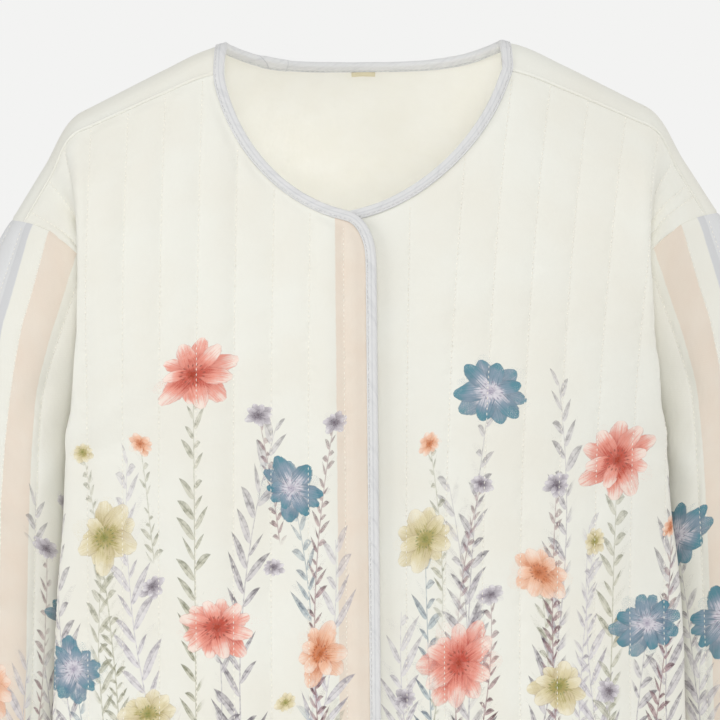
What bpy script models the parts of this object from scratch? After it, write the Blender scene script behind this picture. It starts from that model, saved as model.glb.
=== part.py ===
"""Cropped quilted jacket: collarless, bound neck and front edges, dropped shoulders, long sleeves.

It keeps the hollow form of a worn jacket with nobody in it. The front looks along -Y and +Z is up.
The origin lies midway between the two neck points, where the shoulders hold the jacket up.
Five quilted walls (two fronts, back, two sleeves), one binding strip and a blank neck tab.
"""

import math
from collections import namedtuple

import bpy
import numpy as np

MM = 0.001  # every size below is in millimetres

# Driving sizes
HEM_Z = -545.0  # hem below the neck points
UNDERARM_Z = -302.0
NECK_HALF = 105.0  # neck point from the centre line
NECK_REACH = 107.5  # half width that the front necklines' curves aim for
BACK_NECK_DEPTH, BACK_NECK_ROUNDNESS = 15.5, 3.5
LIFT_FULL, LIFT_GONE = 24.0, 84.0  # where, from the centre line, the upper front's lift starts and ends to fade
PANEL_HALF = 305.0  # centre line to side seam along the cloth
SHOULDER_SLOPE, SHOULDER_SOFT = 0.45, 20.0
SEAM_START_Z = -17.0  # forward shoulder seam at the neck, before it slopes
SEAM_FORWARD = 21.0  # the seam lies this far below the shoulder ridge at the neck
SEAM_FORWARD_LOSS = 7.0  # and so much less at the shoulder's end
RIDGE_Y, SEAM_Y, OVER_Y, OVER_DROP = 3.0, -28.0, -13.0, 5.0
SHOULDER_END = 212.0

# Quilted cloth
WALL = 2.4  # thickness at a stitch line
PUFF = 1.4  # how far a channel swells above its stitch lines
CHANNEL = 27.8  # stitch line to stitch line
CROWN = (0.32, 0.68)  # where, across a channel, the wall reaches its full height
SEAM_FADE = 10.0  # the puff dies away over this distance from a seam or bound edge
PLAIN_STRIP = 4.0  # the quilting of the back ends this far behind the shoulder ridge
SEAM_GAP = 0.5
PIT_GAP = 1.2  # the sleeve stands this far off the body at the underarm, where the two lie face to face

# Each front: how far it runs past the centre line, the depth and the curve's exponent of its neckline, its
# rounded corner, its first stitch line from the centre, and how far it rides over the other front
FrontCut = namedtuple("FrontCut", "edge neck_depth neck_roundness corner_wide corner_tall first_line lift")
LEFT_FRONT = FrontCut(6.8, 130.0, 1.94, 19.0, 34.0, 16.5, 7.0)
RIGHT_FRONT = FrontCut(20.0, 128.5, 1.72, 9.0, 14.0, 27.6, 0.0)

# Binding strip and neck tab
BIND_WIDTH, BIND_WALL, BIND_GAP = 6.6, 1.0, 0.6
TAB_HALF, TAB_TALL, TAB_WALL, TAB_GAP = 9.0, 5.0, 1.2, 0.4

# Armhole loop: from the dropped shoulder tip down to the underarm
ARM_TIP = np.array([263.0, 0.0, -130.0])
ARM_PIT = np.array([195.0, 5.0, UNDERARM_Z])
ARM_HALF_DEPTH = 62.0
ARM_BOW = np.array([-28.0, 0.0, 37.0])  # front and back of the loop bow inwards and up
SEAM_ANGLE, OVER_ANGLE = math.radians(28), math.radians(14)

TorsoRow = namedtuple(
    "TorsoRow",
    "name z front_y fold_x fold_y tuck_x tuck_y side_x side_y"
    " back_tuck_x back_tuck_y back_fold_x back_fold_y back_y",
)
TORSO_ROWS = [
    TorsoRow("hem", HEM_Z, -104, 233, -66, 217, -30, 204, 4, 211, 34, 219, 66, 98),
    TorsoRow("waist", -425, -106, 230, -68, 212, -34, 198, 4, 205, 36, 213, 68, 98),
    TorsoRow("underarm", UNDERARM_Z, -107, 221, -74, 201, -46, 195, 5, 196, 46, 207, 72, 99),
]

# Front rows from the underarm to the shoulder seam. rise runs from 0 at the underarm to 1 at the seam.
ChestRow = namedtuple("ChestRow", "name rise fold_x fold_y tuck_x tuck_y")
CHEST_ROWS = [
    ChestRow("bust", 0.2, 216, -79, 198, -60),
    ChestRow("chest", 0.4, 212, -80, 195, -64),
    ChestRow("upper chest", 0.6, 210.5, -76, 199, -61),
    ChestRow("collarbone", 0.8, 211, -62, 213, -47),
    ChestRow("seam", 1.0, 214, -27, 233, -27),
]

# Back rows from the underarm to the ridge. turn is the angle round the shoulder blade, in degrees.
BladeRow = namedtuple("BladeRow", "name turn share fold_x fold_y tuck_x tuck_y")
BLADE_ROWS = [
    BladeRow("blade", 22, 0.42, 204, 72, 195.5, 66.5),
    BladeRow("upper back", 42, 0.62, 203, 69, 198, 67.5),
    BladeRow("yoke", 60, 0.79, 204, 60, 209, 57),
    BladeRow("shoulder", 76, 0.92, 208, 38, 225, 37),
    BladeRow("ridge", 90, 1.0, SHOULDER_END, 4, 238, 3),
]
BACK_BOX, BLADE_BOX = 3.3, 2.0  # how square the back's turn is at the centre and at the shoulder

SleeveRow = namedtuple("SleeveRow", "name x y z half_wide half_deep rise")
SLEEVE_ROWS = [
    SleeveRow("upper arm", 250, 8, -262, 46, 66, 62),
    SleeveRow("biceps", 256, 9, -335, 51, 64, 30),
    SleeveRow("elbow", 259, 12, -420, 51, 58, 12),
    SleeveRow("forearm", 261, 14, -510, 48, 53, 4),
    SleeveRow("cuff", 262, 13, -595, 45, 48, 0),
]
SLEEVE_CHANNELS = 13

# Mesh rows: shares of the height below the underarm, then of the way on to each column's top
TORSO_SHARES = [0, 0.35, 0.7]
FRONT_SHARES = [0, 0.14, 0.28, 0.42, 0.55, 0.67, 0.78, 0.87, 0.94, 1]
BACK_SHARES = [0, 0.15, 0.29, 0.43, 0.56, 0.67, 0.76, 0.83, 0.88, 0.915, 0.94, 0.96, 0.98, 1]
SLEEVE_SHARES = [0, 0.05, 0.13, 0.22, 0.32, 0.44, 0.56, 0.68, 0.79, 0.9, 1]
CORNER_ROWS = 0.6  # share of the way up from where the rows bend into the rounded front corner
FAN_START = 86.0  # columns from here crowd together at the neck point
FRONT_FAN = [92, 97.5, 101.5, 104, NECK_HALF]
BACK_FAN = [92, 97.5, 101.5, 102.5, 103.2, 103.8, 104.3, 104.7, NECK_HALF]
NECK_SIDE = 60.0  # from here out the binding follows the cloth in closer steps
NECK_TURN = 2  # place in BACK_FAN from which the neckline climbs over the ridge to the seam
LINE_SAMPLES = 481

IVORY, PALE_GREY, TAB_BEIGE = (0.86, 0.85, 0.79, 1), (0.66, 0.68, 0.72, 1), (0.72, 0.66, 0.5, 1)


def fade(low, high, value):
    """0 below low, 1 above high, smooth in between."""
    share = np.clip((value - low) / (high - low), 0, 1)
    return share * share * (3 - 2 * share)


def run(points):
    """Distance along a line of points."""
    steps = np.linalg.norm(np.diff(points, axis=0), axis=1)
    return np.concatenate([[0], np.cumsum(steps)])


def unit(vectors):
    return vectors / np.maximum(np.linalg.norm(vectors, axis=-1, keepdims=True), 1e-9)


def calm_slopes(knots, values):
    """Slopes that don't overshoot: level at a turning point, else between the neighbours' slopes."""
    chords = np.diff(values, axis=0) / np.diff(knots)[:, None, None]
    before, after = chords[:-1], chords[1:]
    total = np.where(before + after == 0, 1, before + after)
    both = np.where(before * after > 0, 2 * before * after / total, 0)
    return np.concatenate([chords[:1], both, chords[-1:]])


def curve(knots, values, at):
    """A smooth curve through values at the knots; values may hold one curve for each place in at."""
    i = np.clip(np.searchsorted(knots, at, side="right") - 1, 0, len(knots) - 2)
    step = (knots[i + 1] - knots[i])[:, None]
    f = ((at - knots[i]) / step[:, 0])[:, None]
    if values.ndim == 3:
        slopes, each = calm_slopes(knots, values), np.arange(len(at))
        p0, p1, m0, m1 = values[i, each], values[i + 1, each], slopes[i, each], slopes[i + 1, each]
    else:
        slopes = np.gradient(values, knots, axis=0)
        p0, p1, m0, m1 = values[i], values[i + 1], slopes[i], slopes[i + 1]
    bend = f * f * (3 - 2 * f)
    return p0 + bend * (p1 - p0) + step * (f * (1 - f) ** 2 * m0 - f * f * (1 - f) * m1)


# Lines of the body

def seam_z(x):
    beyond = x - NECK_HALF
    return SEAM_START_Z - SHOULDER_SLOPE * (beyond + np.sqrt(beyond**2 + SHOULDER_SOFT**2)) / 2


def ridge_z(x):
    loss = SEAM_FORWARD_LOSS * np.clip((x - NECK_HALF) / (SHOULDER_END - NECK_HALF), 0, 1)
    return seam_z(x) + SEAM_FORWARD - loss


def neck_z(s, cut):
    """Height of a front's neckline at a distance s from the centre line, before its corner is rounded."""
    share = (np.clip(s, -cut.edge, NECK_HALF) + cut.edge) / (NECK_REACH + cut.edge)
    return -cut.neck_depth * (1 - share**cut.neck_roundness) ** (1 / cut.neck_roundness)


def corner_drop(s, cut):
    into = np.clip((cut.corner_wide - cut.edge - s) / cut.corner_wide, 0, 1)
    return cut.corner_tall * (1 - np.sqrt(1 - into**2))


def back_neck_z(s):
    return -BACK_NECK_DEPTH * (1 - (np.abs(s) / NECK_HALF) ** BACK_NECK_ROUNDNESS)


def arm_loop(angle):
    """Armhole loop: 0 at the shoulder tip, a quarter turn at the front, a half turn at the underarm."""
    angle = np.atleast_1d(angle)[:, None]
    centre, reach = (ARM_TIP + ARM_PIT) / 2, (ARM_TIP - ARM_PIT) / 2
    deep = np.array([0, -ARM_HALF_DEPTH, 0])
    return centre + np.cos(angle) * reach + np.sin(angle) * deep + np.sin(angle) ** 2 * ARM_BOW


def arm_point(start, end, share):
    """A point on the armhole, at a share of the way along it from one angle to another."""
    angles = np.linspace(start, end, LINE_SAMPLES)
    along = run(arm_loop(angles))
    return arm_loop(np.interp(share * along[-1], along, angles))[0]


# Rows of the body, each a line from the centre to the side seam or the armhole

SPREAD = np.array([0, 0.2, 0.4, 0.55, 0.7, 0.85, 0.95])  # places across a row, as shares of its fold
FLATNESS = 3.4  # how flat a row lies before it turns at its fold


def row_line(chest, fold, tuck, edge):
    """(cloth distance, points) along one row. The distance is level up to the fold and even beyond it."""
    control = np.vstack([chest, fold, tuck, edge])
    knots = run(control)
    places = np.linspace(0, knots[-1], LINE_SAMPLES)
    line = curve(knots, control, places)
    level, whole = run(line[:, :2]), run(line)
    level_fold, whole_fold = (np.interp(knots[-3], places, x) for x in (level, whole))
    beyond = (whole - whole_fold) / (whole[-1] - whole_fold)
    return np.where(places <= knots[-3], level, level_fold + beyond * (PANEL_HALF - level_fold)), line


def across(fold_x, centre_y, fold_y, height):
    x = SPREAD * fold_x
    y = centre_y + (fold_y - centre_y) * SPREAD**FLATNESS
    return np.column_stack([x, y, height(x)])


def torso_row(row, back):
    def level(x):
        return np.full(np.shape(x), float(row.z))

    if back:
        chest = across(row.back_fold_x, row.back_y, row.back_fold_y, level)
        fold, tuck = (row.back_fold_x, row.back_fold_y), (row.back_tuck_x, row.back_tuck_y)
    else:
        chest = across(row.fold_x, row.front_y, row.fold_y, level)
        fold, tuck = (row.fold_x, row.fold_y), (row.tuck_x, row.tuck_y)
    return row_line(chest, (*fold, row.z), (*tuck, row.z), (row.side_x, row.side_y, row.z))


def chest_row(row):
    def height(x):
        return UNDERARM_Z + row.rise * (seam_z(x) - UNDERARM_Z)

    deepest = TORSO_ROWS[-1].front_y
    centre_y = SEAM_Y + (deepest - SEAM_Y) * math.sin(math.pi / 2 * (1 - row.rise)) ** 0.85
    edge = arm_point(math.pi, SEAM_ANGLE, row.rise)
    fold = (row.fold_x, row.fold_y, float(height(row.fold_x)))
    tuck = (row.tuck_x, row.tuck_y, (fold[2] + edge[2]) / 2)
    return row_line(across(row.fold_x, centre_y, row.fold_y, height), fold, tuck, edge)


def blade_row(row):
    turn = math.radians(row.turn)
    x = np.append(SPREAD, 1) * row.fold_x
    box = BACK_BOX + (BLADE_BOX - BACK_BOX) * fade(0, 150, x)
    z = UNDERARM_Z + math.sin(turn) ** (2 / box) * (ridge_z(x) - UNDERARM_Z)
    out = max(math.cos(turn), 0) ** (2 / box[:-1])
    below = TORSO_ROWS[-1]
    level_y = below.back_y + (below.back_fold_y - below.back_y) * SPREAD**FLATNESS
    y = RIDGE_Y + (level_y - RIDGE_Y) * out
    edge = arm_point(math.pi, 2 * math.pi, row.share)
    tuck = (row.tuck_x, row.tuck_y, (z[-1] + edge[2]) / 2)
    return row_line(np.column_stack([x[:-1], y, z[:-1]]), (row.fold_x, row.fold_y, z[-1]), tuck, edge)


def over_row():
    """The row just in front of the ridge, where the back wraps over the shoulder."""
    def height(x):
        return ridge_z(x) - OVER_DROP

    edge = arm_loop(OVER_ANGLE)[0]
    fold = (SHOULDER_END, OVER_Y, float(height(SHOULDER_END)))
    tuck = (237, OVER_Y, (fold[2] + edge[2]) / 2)
    return row_line(across(SHOULDER_END, OVER_Y, OVER_Y, height), fold, tuck, edge)


class Surface:
    """A loft through rows: s runs along the cloth from the centre line, v up it, both in millimetres."""

    def __init__(self, rows, facing):
        self.rows, self.facing = rows, facing
        guide = np.array([[np.interp(NECK_HALF, s, line[:, k]) for k in range(3)] for s, line in rows])
        self.v = run(guide)
        self.underarm, self.top = self.v[len(TORSO_ROWS) - 1], self.v[-1]

    def points(self, s, v):
        s, v = np.broadcast_arrays(np.asarray(s, float), np.asarray(v, float))
        flat_s, flat_v = np.abs(s).ravel(), v.ravel()
        rows = [[np.interp(flat_s, along, line[:, k]) for k in range(3)] for along, line in self.rows]
        found = curve(self.v, np.array(rows).transpose(0, 2, 1), flat_v)
        found[:, 0] *= np.where(s.ravel() < 0, -1, 1)
        return found.reshape(*s.shape, 3)

    def normals(self, s, v, step=1.5):
        limit = PANEL_HALF
        along = self.points(np.minimum(s + step, limit), v) - self.points(np.maximum(s - step, -limit), v)
        up = self.points(s, np.minimum(v + step, self.top)) - self.points(s, np.maximum(v - step, 0))
        return unit(np.cross(along, up)) * self.facing

    def v_at_height(self, s, z, highest):
        """How far up the cloth column s reaches height z, looking below v = highest."""
        v = np.linspace(0, highest, LINE_SAMPLES)
        return float(np.interp(z, self.points(np.full(len(v), s), v)[:, 2], v))


FRONT = Surface([torso_row(r, False) for r in TORSO_ROWS] + [chest_row(r) for r in CHEST_ROWS], 1)
BACK = Surface(
    [torso_row(r, True) for r in TORSO_ROWS]
    + [blade_row(r) for r in BLADE_ROWS]
    + [over_row(), chest_row(CHEST_ROWS[-1])],
    -1,
)
RIDGE_V = BACK.v[len(TORSO_ROWS) + len(BLADE_ROWS) - 1]


# Panels, each a grid of columns and rows on its surface

def rising_shorter(points):
    """Which way each cell of a grid splits into two triangles: along its shorter diagonal."""
    rising = np.linalg.norm(points[1:, 1:] - points[:-1, :-1], axis=-1)
    return rising <= np.linalg.norm(points[1:, :-1] - points[:-1, 1:], axis=-1)


class Panel:
    """Grid points of one wall, rows up and columns across, with where they lie on the cloth."""

    def __init__(self, points, normals, puff, s, v):
        self.points, self.normals, self.puff, self.s, self.v = points, normals, puff, s, v

    def outer(self):
        return self.points + self.normals * self.puff[..., None]

    def inner(self):
        return self.points - self.normals * WALL

    def locate(self, s, v):
        """Row and column numbers, with fractions, of a place on the cloth."""
        rows, columns = self.s.shape
        row = rows - 1.0
        for _ in range(12):
            low = min(int(row), rows - 2)
            part = row - low
            column = np.interp(s, (1 - part) * self.s[low] + part * self.s[low + 1], np.arange(columns))
            left = min(int(column), columns - 2)
            share = column - left
            row = np.interp(v, (1 - share) * self.v[:, left] + share * self.v[:, left + 1], np.arange(rows))
        return row, column

    def at(self, s, v, lift):
        """A point on the facets of the plain wall, moved out by lift."""
        row, column = self.locate(s, v)
        r, c = min(int(row), self.s.shape[0] - 2), min(int(column), self.s.shape[1] - 2)
        f, g = row - r, column - c
        cell = slice(r, r + 2), slice(c, c + 2)
        points, normals = self.points[cell], self.normals[cell]
        (low_left, low_right), (high_left, high_right) = points + normals * lift
        if rising_shorter(points - normals * WALL)[0, 0]:
            if f <= g:
                return low_left + g * (low_right - low_left) + f * (high_right - low_right)
            return low_left + f * (high_left - low_left) + g * (high_right - high_left)
        if f + g <= 1:
            return low_left + g * (low_right - low_left) + f * (high_left - low_left)
        return high_right + (1 - g) * (high_left - high_right) + (1 - f) * (low_right - high_right)


def channel_height(s, first_line):
    """0 on a stitch line and 1 over the crown of a channel."""
    place = np.mod((s - first_line) / CHANNEL, 1)
    return np.clip(np.minimum(place / CROWN[0], (1 - place) / (1 - CROWN[1])), 0, 1)


def quilt_columns(start, end, first_line):
    """Stitch lines and crown edges between two distances from the centre line, ends included."""
    first = math.floor((start - first_line) / CHANNEL)
    last = math.ceil((end - first_line) / CHANNEL)
    places = [first_line + CHANNEL * (k + f) for k in range(first, last + 1) for f in (0, *CROWN)]
    return [start, *(s for s in places if start + 3 < s < end - 3), end]


def fan_columns(plain, fan):
    """(place at the hem, place at the top) of each column, with extra ones that meet at the neck point."""
    below = [(s, s) for s in plain if s < FAN_START]
    above = [s for s in plain if s > NECK_HALF + 4]
    spread = np.linspace(below[-1][0], above[0], len(fan) + 2)[1:-1]
    return below + list(zip(spread, fan)) + [(s, s) for s in above]


def laid(columns, surface, tops, drops, shares):
    """s and v of every grid point. Rows are level below the underarm, then spread to the columns' tops."""
    hem_s, top_s = np.array(columns).T
    share = np.array(shares)[:, None]
    upper = surface.underarm + share * (np.array(tops) - surface.underarm)
    upper -= np.array(drops) * np.clip((share - CORNER_ROWS) / (1 - CORNER_ROWS), 0, 1)
    lower = np.array(TORSO_SHARES)[:, None] * np.full(len(columns), surface.underarm)
    bend = np.concatenate([np.zeros(len(TORSO_SHARES)), np.array(shares) ** 2])[:, None]
    return hem_s + (top_s - hem_s) * bend, np.vstack([lower, upper])


def reach_to(path, s, v):
    """Distance on the cloth from each grid point to a line of places."""
    reach = np.full(s.shape, np.inf)
    for a, b in zip(path, path[1:]):
        way = b - a
        share = np.clip(((s - a[0]) * way[0] + (v - a[1]) * way[1]) / (way @ way), 0, 1)
        reach = np.minimum(reach, np.hypot(s - a[0] - share * way[0], v - a[1] - share * way[1]))
    return reach


def swell(s, v, bound, seams, first_line):
    """Height of the quilting. It dies away before a bound edge and at a seam."""
    clear = np.minimum(reach_to(bound, s, v) - BIND_WIDTH, np.minimum(seams, PANEL_HALF - np.abs(s)))
    return PUFF * channel_height(s, first_line) * fade(0, SEAM_FADE, clear)


def front_edge(s, v):
    """Places along a front's bound edge: up from the hem, round the corner and along the neck."""
    up = [(s[r, 0], v[r, 0]) for r in range(s.shape[0] - 1)]
    top = [(s[-1, c], v[-1, c]) for c in range(s.shape[1]) if s[-1, c] < NECK_HALF]
    return np.array(up + top)


def back_edge(s, v):
    return np.array([(s[-1, c], v[-1, c]) for c in range(s.shape[1]) if abs(s[-1, c]) <= NECK_HALF])


def front_top(s, cut):
    """How far up the cloth a front's top edge lies: neckline, then shoulder seam."""
    seam = FRONT.top - SEAM_GAP
    return seam if s >= NECK_HALF else min(seam, FRONT.v_at_height(s, neck_z(s, cut), seam))


def front_panel(cut):
    columns = fan_columns(quilt_columns(-cut.edge, PANEL_HALF, cut.first_line), FRONT_FAN)
    corner = [(s, s) for s in (0.8 - cut.edge, 3 - cut.edge, 7 - cut.edge)]
    columns = columns[:1] + corner + [c for c in columns[1:] if c[0] > 9 - cut.edge]
    tops, drops = zip(*[(front_top(b, cut), corner_drop(b, cut)) for _, b in columns])
    s, v = laid(columns, FRONT, tops, drops, FRONT_SHARES)
    points, normals = FRONT.points(s, v), FRONT.normals(s, v)
    points[..., 1] -= cut.lift * (1 - fade(LIFT_FULL, LIFT_GONE, s))
    seams = np.where(s > NECK_HALF, FRONT.top - SEAM_GAP - v, np.inf)
    puff = swell(s, v, front_edge(s, v), seams, cut.first_line)
    shoulder, side = np.where(s[-1] >= NECK_HALF)[0], np.arange(len(TORSO_SHARES) + 1)
    normals[-1, shoulder] = unit(normals[-1, shoulder] + BACK.normals(s[-1, shoulder], BACK.top))
    normals[side, -1] = unit(normals[side, -1] + BACK.normals(PANEL_HALF, v[side, -1]))
    points[side, -1, 1] -= SEAM_GAP / 2
    return Panel(points, normals, puff, s, v)


def mirrored(panel):
    for grid in (panel.points, panel.normals):
        grid[..., 0] *= -1
    return panel


def back_top(s):
    """How far up the cloth the back's top edge lies: neckline, then over the ridge to the shoulder seam."""
    turn = BACK_FAN[NECK_TURN:]
    if abs(s) < turn[0]:
        return BACK.v_at_height(abs(s), back_neck_z(s), RIDGE_V)
    below = BACK.v_at_height(turn[0], back_neck_z(turn[0]), RIDGE_V)
    return float(np.interp(abs(s), turn, np.linspace(below, BACK.top, len(turn))))


def back_panel():
    half = fan_columns(quilt_columns(0, PANEL_HALF, CHANNEL / 2), BACK_FAN)
    columns = [(-a, -b) for a, b in reversed(half[1:])] + half
    tops = [back_top(b) for _, b in columns]
    s, v = laid(columns, BACK, tops, np.zeros(len(columns)), BACK_SHARES)
    points, normals = BACK.points(s, v), BACK.normals(s, v)
    seams = np.where(np.abs(s) > NECK_HALF, RIDGE_V - PLAIN_STRIP - v, np.inf)
    puff = swell(s, v, back_edge(s, v), seams, CHANNEL / 2)
    side, flip = np.arange(len(TORSO_SHARES) + 1), np.array([-1, 1, 1])
    for column, way in ((-1, np.ones(3)), (0, flip)):
        front = FRONT.normals(PANEL_HALF, v[side, column]) * way
        normals[side, column] = unit(normals[side, column] + front)
        points[side, column, 1] += SEAM_GAP / 2
    shoulder = np.where(np.abs(s[-1]) >= NECK_HALF)[0]
    front = FRONT.normals(np.abs(s[-1, shoulder]), FRONT.top)
    front[s[-1, shoulder] < 0] *= flip
    normals[-1, shoulder] = unit(normals[-1, shoulder] + front)
    return Panel(points, normals, puff, s, v)


# Sleeves

def armhole_edge(front, back, side):
    """(panel, row, column) round one armhole: front seam, down to the underarm, up the back to the seam."""
    column = -1 if side > 0 else 0
    first = len(TORSO_SHARES)
    down = [(front, r, -1) for r in range(front.s.shape[0] - 1, first - 1, -1)]
    return down + [(back, r, column) for r in range(first + 1, back.s.shape[0])]


def share_round(line):
    """Share of the way round a closed line, even from tip to underarm and from there back to the tip."""
    along, half = run(line), len(line) // 2
    second = 0.5 + (along - along[half]) / (along[-1] - along[half]) / 2
    return np.where(np.arange(len(line)) <= half, along / along[half] / 2, second)


def sleeve_rings(places):
    angles = np.linspace(0, 2 * math.pi, LINE_SAMPLES)
    lines = [arm_loop(angles)]
    for row in SLEEVE_ROWS:
        wide = row.x + row.half_wide * np.cos(angles)
        deep = row.y - row.half_deep * np.sin(angles)
        lines.append(np.column_stack([wide, deep, row.z + row.rise * np.cos(angles)]))
    rings = [[np.interp(places, share_round(line), line[:, k]) for k in range(3)] for line in lines]
    return np.array(rings).transpose(0, 2, 1), share_round(lines[0]), lines[0]


def sleeve_panel(edge_points):
    """The sleeve's tube. Its top follows the facets of the body's armhole edge, one seam gap below it."""
    places = np.array([(k + f) / SLEEVE_CHANNELS for k in range(SLEEVE_CHANNELS) for f in (0, *CROWN)])
    rings, loop_share, loop = sleeve_rings(places)
    knots = loop_share[[np.argmin(np.linalg.norm(loop - p, axis=1)) for p in edge_points]]
    order = np.argsort(knots)
    knots, held = knots[order], edge_points[order]
    top_places = places.copy()
    for knot in knots:
        top_places[np.argmin(np.abs(places - knot))] = knot
    knots = np.concatenate([[knots[-1] - 1], knots, [knots[0] + 1]])
    held = np.vstack([held[-1:], held, held[:1]])
    rings[0] = np.column_stack([np.interp(top_places, knots, held[:, k]) for k in range(3)])
    rings[0] += SEAM_GAP * unit(rings[1] - rings[0])
    around = 2 * math.pi * places
    facing = PIT_GAP * np.clip(0.35 - np.cos(around), 0, 1)
    rings[0] += np.column_stack([facing, 0.6 * facing * np.sin(around), 0 * facing])
    along = run(rings.mean(axis=1))
    v = np.array(SLEEVE_SHARES)[:, None] * np.full(len(places), along[-1])
    points = np.array([curve(along, rings, row) for row in v])
    along_ring = np.roll(points, -1, axis=1) - np.roll(points, 1, axis=1)
    normals = unit(np.cross(along_ring, np.gradient(points, axis=0)))
    ends = fade(0, SEAM_FADE, np.minimum(v, along[-1] - v + 0.6 * SEAM_FADE))
    puff = PUFF * channel_height(places * SLEEVE_CHANNELS * CHANNEL, 0) * ends
    return Panel(points, normals, puff, np.tile(places, (len(v), 1)), v)


def meet_at_armhole(picked, sleeve):
    """Turns the walls at the armhole to one shared direction, so that they meet flush and don't cross."""
    edge = np.array([panel.points[r, c] for panel, r, c in picked])
    mine = np.array([panel.normals[r, c] for panel, r, c in picked])
    ring, own = sleeve.points[0], sleeve.normals[0].copy()
    for k, (panel, r, c) in enumerate(picked):
        other = own[np.argmin(np.linalg.norm(ring - edge[k], axis=1))]
        panel.normals[r, c] = unit(mine[k] + fade(-0.3, 0.4, mine[k] @ other) * other)
    for k, point in enumerate(ring):
        other = mine[np.argmin(np.linalg.norm(edge - point, axis=1))]
        sleeve.normals[0, k] = unit(own[k] + fade(-0.3, 0.4, own[k] @ other) * other)


# Building solids

def new_material(name, colour, roughness):
    material = bpy.data.materials.new(name)
    material.use_nodes = True
    shader = material.node_tree.nodes["Principled BSDF"]
    shader.inputs["Base Color"].default_value = colour
    shader.inputs["Roughness"].default_value = roughness
    shader.inputs["Metallic"].default_value = 0.0
    return material


def add_object(name, corners, faces, material, collection):
    mesh = bpy.data.meshes.new(name)
    mesh.from_pydata([tuple(p) for p in corners * MM], [], faces)
    volume = 0.0
    for face in faces:
        for b, c in zip(face[1:-1], face[2:]):
            volume += float(corners[face[0]] @ np.cross(corners[b], corners[c]))
    if volume < 0:
        mesh.flip_normals()
    mesh.shade_smooth()
    mesh.set_sharp_from_angle(angle=math.radians(40))
    mesh.materials.append(material)
    thing = bpy.data.objects.new(name, mesh)
    collection.objects.link(thing)
    return thing


def loft(name, outer, inner, around, material, collection):
    """A closed wall between an outer and an inner grid. around joins the last column to the first."""
    rows, columns = outer.shape[:2]
    splits = rising_shorter(np.concatenate([inner, inner[:, :1]], axis=1) if around else inner)
    cells = columns if around else columns - 1

    def point(r, c, inside):
        return inside * rows * columns + r * columns + c % columns

    faces = []
    for r in range(rows - 1):
        for c in range(cells):
            a, b, d, e = (r, c), (r, c + 1), (r + 1, c + 1), (r + 1, c)
            for ring in ([(a, b, d), (a, d, e)] if splits[r, c] else [(a, b, e), (b, d, e)]):
                faces.append([point(*p, 0) for p in ring])
                faces.append([point(*p, 1) for p in reversed(ring)])
    for c in range(cells):
        for r, (a, b) in ((0, (c + 1, c)), (rows - 1, (c, c + 1))):
            faces.append([point(r, a, 0), point(r, b, 0), point(r, b, 1), point(r, a, 1)])
    if not around:
        for r in range(rows - 1):
            for c, (a, b) in ((0, (r, r + 1)), (columns - 1, (r + 1, r))):
                faces.append([point(a, c, 0), point(b, c, 0), point(b, c, 1), point(a, c, 1)])
    corners = np.concatenate([outer.reshape(-1, 3), inner.reshape(-1, 3)])
    return add_object(name, corners, faces, material, collection)


# Binding strip and tab

def closer(path):
    """A line of places with one more halfway along each step on the neck's steep sides."""
    places = [path[0]]
    for a, b in zip(path, path[1:]):
        if abs(a[0] + b[0]) / 2 > NECK_SIDE:
            places.append((a + b) / 2)
        places.append(b)
    return np.array(places)


def bind_section(panel, place, into):
    """The strip's folded outline round the edge at one place: over the outside, round, and up the inside."""
    def at(depth, lift):
        edge = panel.at(*(place + into * max(depth, 0)), lift)
        if depth >= 0:
            return edge
        return edge + unit(edge - panel.at(*(place + into * 4), lift)) * -depth

    over = BIND_GAP + BIND_WALL
    under = -WALL - over
    outline = [(BIND_WIDTH, over), (0, over), (-over, 0.0), (-over, -WALL), (0, under), (BIND_WIDTH, under)]
    hollow = [(BIND_WIDTH, -WALL - BIND_GAP), (-BIND_GAP, -WALL - BIND_GAP)]
    hollow += [(-BIND_GAP, BIND_GAP), (BIND_WIDTH, BIND_GAP)]
    return np.array([at(*p) for p in outline + hollow])


def binding(left, back, right, material, collection):
    """One strip: up the left front's edge, round the neck and down the right front's edge."""
    left_path, back_path = front_edge(left.s, left.v), back_edge(back.s, back.v)
    right_path = front_edge(right.s, right.v)[::-1]
    sections = []
    for panel, path, turn in ((left, left_path, 1), (back, back_path, 1), (right, right_path, -1)):
        path = closer(path)
        way = unit(np.gradient(path, axis=0))
        into = np.column_stack([way[:, 1], -way[:, 0]]) * turn
        sections += [bind_section(panel, *p) for p in zip(path, into)]
    sections = np.array(sections)
    count, sides = sections.shape[:2]
    faces = []
    for k in range(count - 1):
        for j in range(sides):
            a, b = k * sides + j, k * sides + (j + 1) % sides
            faces.append([a, b, b + sides, a + sides])
    faces.append([sides - 1 - j for j in range(sides)])
    faces.append([(count - 1) * sides + j for j in range(sides)])
    return add_object("edge_binding", sections.reshape(-1, 3), faces, material, collection)


def neck_tab(back, material, collection):
    """A blank folded tab under the binding at the centre of the back neck, on the inside."""
    s = np.linspace(-TAB_HALF, TAB_HALF, 5)
    high = back_top(0) - BIND_WIDTH - TAB_GAP
    grids = []
    for lift in (-WALL - TAB_GAP - TAB_WALL, -WALL - TAB_GAP):
        grids.append(np.array([[back.at(x, v, lift) for x in s] for v in (high - TAB_TALL, high)]))
    return loft("neck_tab", *grids, False, material, collection)


def clear_scene():
    for thing in list(bpy.data.objects):
        bpy.data.objects.remove(thing)


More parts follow.
